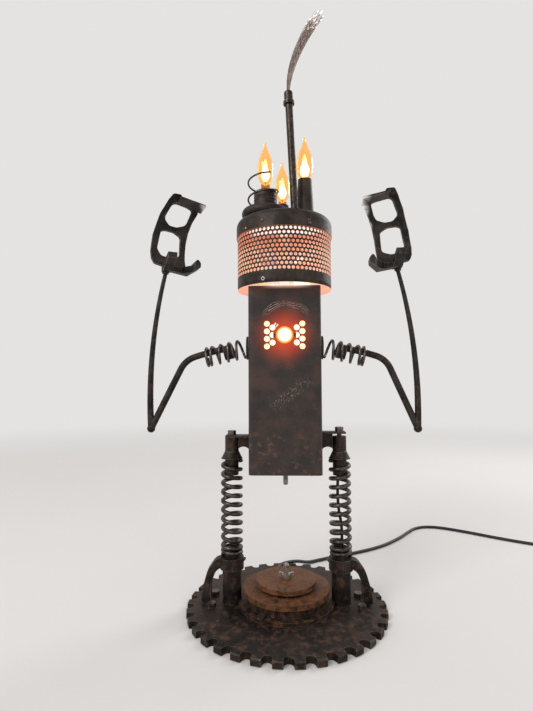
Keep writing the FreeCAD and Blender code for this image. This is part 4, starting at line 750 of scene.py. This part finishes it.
def leg_helix(side):
    """Height rises CLOSED_PITCH a turn at first, then evenly to LEG_TOP; the circle turns steadily."""
    turn = np.linspace(0, CLOSED_TURNS + OPEN_TURNS, 460)
    open_pitch = (LEG_TOP - LEG_LOW - CLOSED_TURNS * CLOSED_PITCH) / OPEN_TURNS
    height = (LEG_LOW + CLOSED_PITCH * np.minimum(turn, CLOSED_TURNS)
              + open_pitch * np.maximum(turn - CLOSED_TURNS, 0))
    return helix((side * LEG_X, 0, 0), (0, 0, 1), (side, 0, 0), LEG_RADIUS, 2 * np.pi * turn, height)


for name, side in SIDES:
    spring = wound(name + "_leg_coil", leg_helix(side), LEG_WIRE, (0, 0, 1), spring_steel, 14)
    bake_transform(spring)
    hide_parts(name + "_leg_spring")

# %% [markdown]
# A wire comes up from the right post, climbs inside the spring and goes on up into the sleeve above it.
# It is laid out as a NURBS line first, and its surface follows the places read from that line.

# %% Wire up the leg
LEAD_RADIUS = 2.1


def read_line(points):
    """Places along the NURBS line of order 3 with these control points, in millimetres."""
    guide = round_line("guide", points, 0)
    guide.data.splines[0].resolution_u = 16
    mesh = bpy.data.meshes.new_from_object(guide)
    places = np.zeros(len(mesh.vertices) * 3)
    mesh.vertices.foreach_get("co", places)
    bpy.data.objects.remove(guide)
    return places.reshape(-1, 3) / MM


wire_route = [(79.7, 0, 72), (79.7, 0, 98), (79.4, 0, 118), (75.5, 0, 138), (74.2, 0, 158),
              (74.6, 0, 182), (76.2, 0, 206)]
leg_lead = wound("leg_lead", read_line(wire_route), LEAD_RADIUS, (0, 1, 0), cord_rubber, 12)
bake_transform(leg_lead)
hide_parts("leg_wire")

# %% [markdown]
# The shoulder springs droop a little. Each has four open turns and a tight one at its outer end, and
# runs from the flange on the body towards the plug on the arm.

# %% Shoulder springs
SHOULDER = (55.6, 0, 371)
DROOP = math.radians(12.5)
ARM_RADIUS = 13
ARM_WIRE = 2
ARM_TURNS = 4
ARM_PITCH = 12.7
END_TURNS = 1.25
END_PITCH = 4.6
FLANGE_GAP = 0.05


def shoulder_helix(side):
    """Runs along the drooping axis: ARM_PITCH a turn, then END_PITCH a turn at the end."""
    along = np.array([side * math.cos(DROOP), 0, -math.sin(DROOP)])
    upward = np.array([side * math.sin(DROOP), 0, math.cos(DROOP)])
    turn = np.linspace(0, ARM_TURNS + END_TURNS, 300)
    lead = ARM_WIRE + ARM_RADIUS * math.sin(DROOP) + FLANGE_GAP
    distance = (lead + ARM_PITCH * np.minimum(turn, ARM_TURNS)
                + END_PITCH * np.maximum(turn - ARM_TURNS, 0))
    start = (side * SHOULDER[0], 0, SHOULDER[2])
    return helix(start, along, -upward, ARM_RADIUS, 2 * np.pi * turn, distance), along


for name, side in SIDES:
    path, along = shoulder_helix(side)
    spring = wound(name + "_shoulder_coil", path, ARM_WIRE, along, arm_spring_steel, 14)
    name + "_arm"
    name + "_shoulder"
    side * 0.077
    side * 0.060
    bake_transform(spring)
    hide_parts(name + "_shoulder_spring")

# %% [markdown]
# A loose coil of wire stands round the left lamp's cup, with its foot on the disc. It is one more helix,
# which climbs fast.

# %% Wire coil round the left lamp
COIL_TURNS = 2 - 1 / 6
COIL_FOOT = (-29.6, -15, 573.3)
COIL_RADIUS = 22
COIL_PITCH = 25
turn = np.linspace(0, COIL_TURNS, 120)
coil_path = helix(COIL_FOOT, (0, 0, 1), (1, 0, 0), COIL_RADIUS,
                  2 * np.pi * (turn - COIL_TURNS) - np.pi / 3, COIL_PITCH * turn)
loose_coil = wound("loose_coil", coil_path, 1.3, (0, 0, 1), spring_steel, 10, "torso")
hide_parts("wire_coil")

# %% [markdown]
# The drum's band is a sheet punched with ten staggered rows of round holes. One cell of the sheet is a
# rectangle with a round hole: twelve points on its border and twelve on the hole. The cell is repeated
# as a whole array, each row half a cell further round, and the flat sheet is rolled up at the end.

# %% Punched band
BAND_RADIUS = 68.4
BAND_WALL = 1.5
BAND_LOW = 454.6
BAND_HIGH = 546
FIRST_ROW = 474.1
ROW_PITCH = 5.97
HOLE_ROWS = 10
HOLES_ROUND = 70
HOLE_RADIUS = 2.3


def rolled(flat):
    """Rolls flat places (distance round, height) into a cylinder, metres."""
    angle = flat[:, 0] / BAND_RADIUS
    return np.column_stack([BAND_RADIUS * np.sin(angle), -BAND_RADIUS * np.cos(angle), flat[:, 1]]) * MM


def punched_sheet():
    """Cells of twelve quads each, from a border on quarter widths to a round hole, and plain strips."""
    width = 2 * np.pi * BAND_RADIUS / HOLES_ROUND
    x = np.array([2, 2, 1, 0, -1, -2, -2, -2, -1, 0, 1, 2]) * width / 4
    y = np.array([0, 1, 1, 1, 1, 1, 0, -1, -1, -1, -1, -1]) * ROW_PITCH / 2
    swing = np.arange(12) * np.pi / 6
    cell = np.vstack([np.column_stack([x, y]),
                      HOLE_RADIUS * np.column_stack([np.cos(swing), np.sin(swing)])])
    row, column = np.meshgrid(np.arange(HOLE_ROWS), np.arange(HOLES_ROUND), indexing="ij")
    middle = np.stack([(column + 0.5 * (row % 2)) * width, FIRST_ROW + row * ROW_PITCH], axis=-1)
    flat = (middle.reshape(-1, 1, 2) + cell).reshape(-1, 2)
    first = np.arange(12)
    quad = np.column_stack([first, (first + 1) % 12, 12 + (first + 1) % 12, 12 + first])
    faces = (np.arange(HOLE_ROWS * HOLES_ROUND)[:, None, None] * 24 + quad).reshape(-1, 4)
    blocks = [faces]
    columns = HOLES_ROUND * 4
    border_low = FIRST_ROW - ROW_PITCH / 2
    border_high = FIRST_ROW + (HOLE_ROWS - 0.5) * ROW_PITCH
    for low, high in ((BAND_LOW, border_low), (border_high, BAND_HIGH)):
        spot = np.stack(np.meshgrid(np.linspace(low, high, 4), np.arange(columns) * width / 4,
                                    indexing="ij")[::-1], axis=-1).reshape(-1, 2)
        blocks.append(grid_faces(4, columns, True, len(flat)))
        flat = np.vstack([flat, spot])
    return rolled(flat), blocks


band_points, band_faces = punched_sheet()
merged, where = np.unique(np.round(band_points, 7), axis=0, return_inverse=True)
band_faces = [where.reshape(-1)[block] for block in band_faces]
punched_band = mesh_piece("punched_band", merged, band_faces, bronze_sheet, "torso")
punched_band.data.materials.append(lit_paint)
wall = punched_band.modifiers.new("wall", "SOLIDIFY")
wall.thickness = BAND_WALL * MM
wall.offset = -1
wall.material_offset = wall.material_offset_rim = 1
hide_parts("drum_band")

# %% [markdown]
# The tuft is a bundle of clear fibres that lean over to one side. Each starts somewhere in a small disc
# at the nozzle, drifts outwards and ends at its own length, with a bright dot of light at its cut end.

# %% Light fibres
AERIAL_FOOT = np.array([15.1, -49, 557])
AERIAL_LEAN = math.radians(2.65)
TUFT_START = 155 + 15
TUFT_TALL = 110.5
TUFT_BEND = 50
FIBRES = 190
LIT_SHARE = 0.4
FOOT_SPREAD = 2.1
TOP_SPREAD = 7.4
FIBRE_RADIUS = 0.24
BEAD_EXTRA = 0.36
STEPS = 14


def along_aerial(places):
    """Turns places from the aerial's own upright frame to its leaning one."""
    x, y, z = places[..., 0], places[..., 1], places[..., 2]
    turned = np.stack([x * math.cos(AERIAL_LEAN) - z * math.sin(AERIAL_LEAN), y,
                       x * math.sin(AERIAL_LEAN) + z * math.cos(AERIAL_LEAN)], axis=-1)
    return turned + AERIAL_FOOT


def fibre_tuft():
    """Each fibre: bend * share^1.7 aside, its place in the disc growing with share, a slight wave."""
    seeded = np.random.default_rng(7)
    reach = np.sqrt(seeded.random(FIBRES))
    angle = seeded.random(FIBRES) * 2 * np.pi
    long = 1 - 0.30 * seeded.random(FIBRES) ** 1.2
    wave = seeded.normal(0, 0.35, (FIBRES, 2))
    step = np.append(np.linspace(-0.06, 0.97, STEPS - 2), [0.985, 1])
    share = step[None, :] * long[:, None]
    above = np.clip(share, 0, None)
    spread = FOOT_SPREAD + TOP_SPREAD * above
    x = TUFT_BEND * above ** 1.7 + reach[:, None] * np.cos(angle)[:, None] * spread
    y = reach[:, None] * np.sin(angle)[:, None] * spread
    x = x + wave[:, :1] * np.sin(np.pi * above)
    y = y + wave[:, 1:] * np.sin(np.pi * above)
    centre = np.stack([x, y, TUFT_START + TUFT_TALL * share], axis=-1)
    corner = np.arange(3) * 2 * np.pi / 3
    lit = seeded.random(FIBRES) < LIT_SHARE
    thick = FIBRE_RADIUS + BEAD_EXTRA * np.outer(lit, step > 0.98)
    ring = np.stack([np.cos(corner), np.sin(corner), np.zeros(3)], axis=-1)
    points = along_aerial(centre[:, :, None] + thick[:, :, None, None] * ring)
    quads = grid_faces(STEPS, 3, True)
    every = (np.arange(FIBRES)[:, None, None] * STEPS * 3 + quads).reshape(-1, 4)
    caps = np.arange(FIBRES)[:, None] * STEPS * 3
    tops = caps + (STEPS - 1) * 3 + np.arange(3)
    feet = caps + np.array([2, 1, 0])
    tip = np.outer(0.5 + 0.5 * lit, step)
    return points.reshape(-1, 3) * MM, [every, tops, feet], np.repeat(tip.ravel(), 3)


print(FIBRES, "fibres, each of", STEPS, "rings")

# %% Finish of the fibres
def fibre_finish():
    """Clear plastic, pale in streaks of painted highlight; the share of the way along decides where the
    end glows.
    """
    finish = Finish("clear_fibre")
    share = finish.node("ShaderNodeAttribute", {"attribute_name": "share"}, None, "Fac")
    tip = finish.between(share, 0.972, 0.984)
    # Painted highlight: pale streaks that run along the fibres over their brown-grey tone.
    highlight_streak = finish.between(finish.noise(1.6, 3, stretch=(1, 1, 0.06)), 0.38, 0.62)
    pale = finish.mix(highlight_streak, (0.20, 0.15, 0.12), (0.66, 0.57, 0.51))
    glow = finish.mix(tip, (0.02, 0.012, 0.01), (1.0, 0.97, 0.94))
    return glowing(finish, pale, glow, 1.0, 0.16, 2, Transmission_Weight=0.35)


tuft_points, tuft_faces, tuft_share = fibre_tuft()
light_tuft = mesh_piece("light_tuft", tuft_points, tuft_faces, fibre_finish(), "torso",
                        smooth=False)
light_tuft.data.attributes.new("share", "FLOAT", "POINT").data.foreach_set("value", tuft_share)
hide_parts("fibre_bundle")

# %% [markdown]
# Behind the holes in the face shines the lamp of the eye, brightest close to the eye. A bent plate
# inside the body carries that glow, because it is cheaper to render than a lamp in a closed box.

# %% Glow behind the face
PLATE_HALF = (32, 24)
PLATE_Y = -33.6
PLATE_BOW = 1.5
PLATE_COLUMNS = 13
PLATE_ROWS = 9
EYE_ROOM = 11


def face_light():
    """Orange near the eye's height, red away from it, with hot spots behind the columns of holes."""
    finish = Finish("face_light")
    up = finish.gap(finish.axis("Z"), EYE_Z)
    aside = finish.gap(finish.axis("X"), 0)
    near = finish.between(aside * 0.9 + up * 0.6, 0.040, 0.012)
    glow = finish.mix(near + 0.25 * finish.noise(5) - 0.1, (1.0, 0.60, 0.34), (1.0, 0.84, 0.62))
    return glowing(finish, (0.8, 0.5, 0.3), glow, 1.5, 0.5, 3)


def bent_plate():
    """A plate across the body with room for the eye: y grows by PLATE_BOW u^2 away from the middle."""
    u, v = np.meshgrid(np.linspace(-1, 1, PLATE_COLUMNS), np.linspace(-1, 1, PLATE_ROWS))
    from_eye = np.hypot(u * PLATE_HALF[0], v * PLATE_HALF[1])
    points = np.stack([u * PLATE_HALF[0], PLATE_Y + PLATE_BOW * u ** 2,
                       EYE_Z / MM + v * PLATE_HALF[1]], axis=-1)
    faces = grid_faces(PLATE_ROWS, PLATE_COLUMNS, False)
    keep = (from_eye.ravel()[faces] > EYE_ROOM).all(axis=1)
    return points.reshape(-1, 3) * MM, [faces[keep]]


plate_points, plate_faces = bent_plate()
glow_plate = mesh_piece("glow_plate", plate_points, plate_faces, face_light(), "torso")
sheet_wall = glow_plate.modifiers.new("wall", "SOLIDIFY")
sheet_wall.thickness = 0.8 * MM

# %% [markdown]
# Small things make the head real: screws in the cap's skirt and an eyelet in the band. Each is a
# profile turned round the direction in which it stands out.

# %% Screws and eyelet
def turned_piece(name, profile, base, ahead, material, sides, joined=False):
    """A profile of (radius, height) turned round the direction ahead, standing at base on the torso.

    Flat caps close its two ends, or `joined` joins them to each other, as in a ring.
    """
    ahead = np.array(ahead, float) / np.linalg.norm(ahead)
    side = np.cross(ahead, (0, 0, 1)) if abs(ahead[2]) < 0.9 else np.array([1.0, 0, 0])
    side /= np.linalg.norm(side)
    other = np.cross(ahead, side)
    angle = np.arange(sides) * 2 * np.pi / sides
    circle = np.cos(angle)[:, None] * side + np.sin(angle)[:, None] * other
    profile = np.array(profile, float)
    points = np.array(base) + profile[:, :1, None] * circle + profile[:, 1:, None] * ahead
    rows = len(profile)
    blocks = [grid_faces(rows + joined, sides, True) % (rows * sides)]
    if not joined:
        first = np.arange(sides)[None]
        blocks += [first[:, ::-1], first + (rows - 1) * sides]
    radius, height = profile.T
    if np.sum(radius * np.roll(height, -1) - np.roll(radius, -1) * height) < 0:
        blocks = [block[:, ::-1] for block in blocks]
    return mesh_piece(name, points.reshape(-1, 3) * MM, blocks, material, "torso")


SKIRT_RADIUS = 69.95
HEAD = [(0.01, 1.6), (1.2, 1.5), (2.1, 1.1), (2.7, 0.3), (2.7, -0.4), (0.01, -0.4)]
EYELET = [(1.6, 0.9), (2.6, 0.8), (3.0, -0.3), (1.4, -0.3), (1.4, 0.5)]
SPOT = [(0.01, 0.5), (1.1, 0.4), (1.3, -0.3), (0.01, -0.4)]
ON_DRUM = (("skirt_screw_0", HEAD, 29.2, SKIRT_RADIUS, 539.5, bolt_steel, 20, False),
           ("skirt_screw_1", HEAD, 30, SKIRT_RADIUS, 535.5, bolt_steel, 20, False),
           ("skirt_screw_2", HEAD, -25, SKIRT_RADIUS, 539.5, bolt_steel, 20, False),
           ("band_eyelet", EYELET, -24.5, BAND_RADIUS, 460.3, nut_steel, 20, True),
           # A small glowing dome on the skirt: painted light where the lit inside shows through a hole.
           ("lit_skirt_hole", SPOT, -48.9, SKIRT_RADIUS, 535, lit_paint, 12, False))
for name, profile, degrees, radius, height, material, sides, joined in ON_DRUM:
    turn = math.radians(degrees)
    out = (math.sin(turn), -math.cos(turn), 0)
    turned_piece(name, profile, (radius * out[0], radius * out[1], height), out, material,
                 sides, joined)

# %% [markdown]
# Each leg spring ends above in a turned seat, which widens from the sleeve to the spring.

# %% Seats on the springs
SEAT = [(9.85, 223), (10.4, 221), (14.6, 212.6), (15.4, 212.2), (15.4, 211.3), (9.85, 211.3)]
for name, side in SIDES:
    turned_piece(name + "_spring_seat", SEAT, (side * LEG_X, 0, 0), (0, 0, 1), leg_iron, 32,
                 joined=True)

# %% [markdown]
# The left and rear lamps stand lower than the right one and their bulbs show more neck, so their pieces
# are turned here: a rounded disc and a ribbed cup on the left, a plain tube at the rear, and for each a
# screw base with its flame, and the glass, whose wall has two sides.

# %% Left and rear lamps
DRUM_TOP = 556
DISC_TOP = DRUM_TOP + 15.5
CUP_TOP = 597
LEFT_SEAT = 610
REAR_TOP = 599
REAR_SEAT = 607
BULB_WIDE = 12.2
BULB_TALL = 62.5
GLASS_WALL = 0.8
BULB_SHAPE = np.array([(-0.128, 0.533), (0, 0.533), (0.03, 0.62), (0.07, 0.74), (0.14, 0.87),
                       (0.24, 0.97), (0.34, 1), (0.45, 0.96), (0.55, 0.86), (0.64, 0.69), (0.73, 0.50),
                       (0.83, 0.29), (0.91, 0.156), (0.97, 0.156), (0.99, 0.13), (1, 0.02)])


def rounded_disc(radius, low, high, corner):
    """Straight faces and a rim of two quarter circles of the corner's radius."""
    swing = np.linspace(-np.pi / 2, 0, 7)
    across = radius - corner + corner * np.cos(swing)
    foot = np.column_stack([across, low + corner + corner * np.sin(swing)])
    top = np.column_stack([foot[::-1, 0], low + high - foot[::-1, 1]])
    return np.vstack([[(0.01, low)], foot, top, [(0.01, high)]])


def ribbed_cup(radius, bore, low, high, ribs=5, groove=1.0):
    """Ribs between grooves up the outside, a flat rim and a straight bore."""
    pitch = (high - low) / ribs
    foot = low + pitch * np.arange(ribs)[:, None]
    rib = np.stack([np.broadcast_to([radius - groove, radius, radius], (ribs, 3)),
                    foot + pitch * np.array([0, 0.35, 0.75])], axis=-1).reshape(-1, 2)
    return np.vstack([[(bore, low)], rib, [(radius - groove, high), (bore, high)]])


def bulb_wall(seat):
    """The outer outline upwards, then the inner one downwards, a wall's thickness inside it."""
    tall, wide = BULB_SHAPE.T
    outer = np.column_stack([wide * BULB_WIDE, seat + tall * BULB_TALL])
    inner = np.column_stack([np.maximum(wide * BULB_WIDE - GLASS_WALL, 0.02),
                             seat + np.minimum(tall * BULB_TALL, BULB_TALL - 2 * GLASS_WALL)])
    return np.vstack([outer, inner[::-1]])


print("bulb outline through", len(BULB_SHAPE), "places")

# %% Their pieces, flames and glass
FLAME = np.array([(0.01, -24.5), (6.1, -24.5), (6.1, -8), (1.6, -8), (1.6, 3), (2.8, 4.5), (4.6, 7.5),
                  (6.1, 10.5), (6.5, 12.6), (6.0, 16.5), (4.7, 20), (3.6, 23), (3.0, 27), (2.1, 32),
                  (0.5, 37), (0.01, 37.2)])
REAR_TUBE = [(7.8, DRUM_TOP), (12.6, DRUM_TOP), (9.8, REAR_TOP), (7.8, REAR_TOP)]
LAMPS = {
    "left": ((-26.5, -15, 0), LEFT_SEAT, (
        ("left_disc", rounded_disc(34.5, DRUM_TOP, DISC_TOP, 7.2), "round_disc", "drum_sheet", False),
        ("left_cup", ribbed_cup(17, 7.8, DISC_TOP, CUP_TOP), "left_candle", "candle", True))),
    "middle": ((-2, 43.5, 0), REAR_SEAT, (
        ("rear_tube", REAR_TUBE, "middle_candle", "candle", True),)),
}
for side, (foot, seat, metal_pieces) in LAMPS.items():
    for name, profile, node_name, slot, joined in metal_pieces:
        piece = turned_piece(name, profile, foot, (0, 0, 1), bronze_sheet, 40, joined)
        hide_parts(node_name)
    flame = turned_piece(side + "_flame", FLAME + (0, seat), foot, (0, 0, 1),
                         flame_light("flame_" + side, seat * MM), 32)
    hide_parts(side + "_bulb_flame")
    glass = turned_piece(side + "_glass", bulb_wall(seat), foot, (0, 0, 1), bulb_glass,
                         40, joined=True)
    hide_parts(side + "_bulb_glass")
    print(side, "lamp: bulb to", seat + BULB_TALL, "mm")

# %% [markdown]
# The floor is plain and pale. To the camera, and in reflections, the world behind it is pale too, while
# the light that it sheds stays even and low, so that dark iron keeps its colour. One large lamp from
# the upper left gives the surfaces their form.

# %% Floor and light
FLOOR_HALF = 9
FADE_FROM = 0.7
FADE_TO = 3.2
LIGHT_SHED = 0.72
LIGHT_SEEN = 0.78
BACKDROP = (1.0, 0.985, 0.97, 1)


def pale_floor():
    """A pale grey that fades to the backdrop's own colour far from the lamp."""
    finish = Finish("pale_floor")
    tone = finish.mix(finish.noise(400, 3), (0.72, 0.70, 0.69), (0.76, 0.74, 0.73))
    faded = finish.between(finish.from_point(0, 0, "XY"), FADE_FROM, FADE_TO)
    glow = finish.mix(faded, (0, 0, 0), (0.78, 0.768, 0.757))
    return finish.done(Base_Color=finish.mix(faded, tone, (0, 0, 0)), Roughness=0.8,
                       Specular_IOR_Level=0, Emission_Color=glow, Emission_Strength=1.0)


u, v = np.meshgrid(np.linspace(-FLOOR_HALF, FLOOR_HALF, 3), np.linspace(-FLOOR_HALF, FLOOR_HALF, 3))
floor_points = np.stack([u, v, np.zeros_like(u)], axis=-1).reshape(-1, 3)
floor = mesh_piece("floor", floor_points, [grid_faces(3, 3, False)], pale_floor(), smooth=False)

studio = Finish("studio", "worlds")
bpy.context.scene.world = studio.material
seen = 0
for ray in ("Camera", "Transmission", "Glossy"):
    is_ray = studio.node("ShaderNodeLightPath", output="Is %s Ray" % ray)
    seen = studio.sum("MAXIMUM", seen, is_ray)
strength = studio.node("ShaderNodeMapRange", None,
                       {"Value": seen, "To Min": LIGHT_SHED, "To Max": LIGHT_SEEN})
backdrop = studio.node("ShaderNodeBackground", None, {"Color": BACKDROP, "Strength": strength})
studio.node("ShaderNodeOutputWorld", None, {"Surface": backdrop})


def soft_lamp(name, place, target, wide, power):
    """A square lamp at a place, turned towards a target."""
    light = bpy.data.lights.new(name, "AREA")
    light.size = wide
    light.energy = power
    lamp = placed(name, light)
    lamp.location = place
    away = np.array(place) - np.array(target)
    far = np.hypot(away[0], away[1])
    lamp.rotation_euler = (math.atan2(far, away[2]), 0, math.atan2(away[0], -away[1]))


soft_lamp("key", (-1.3, -1.5, 1.7), (0, 0, 0.4), 1.0, 22)
soft_lamp("rim", (1.4, 1.1, 1.3), (0, 0, 0.45), 0.8, 12)
print("studio: a floor", 2 * FLOOR_HALF, "m wide and two soft lamps")

# %% [markdown] Last comes the view transform, which shows colours as they are written.

# %% View transform
bpy.context.scene.view_settings.view_transform = "Standard"
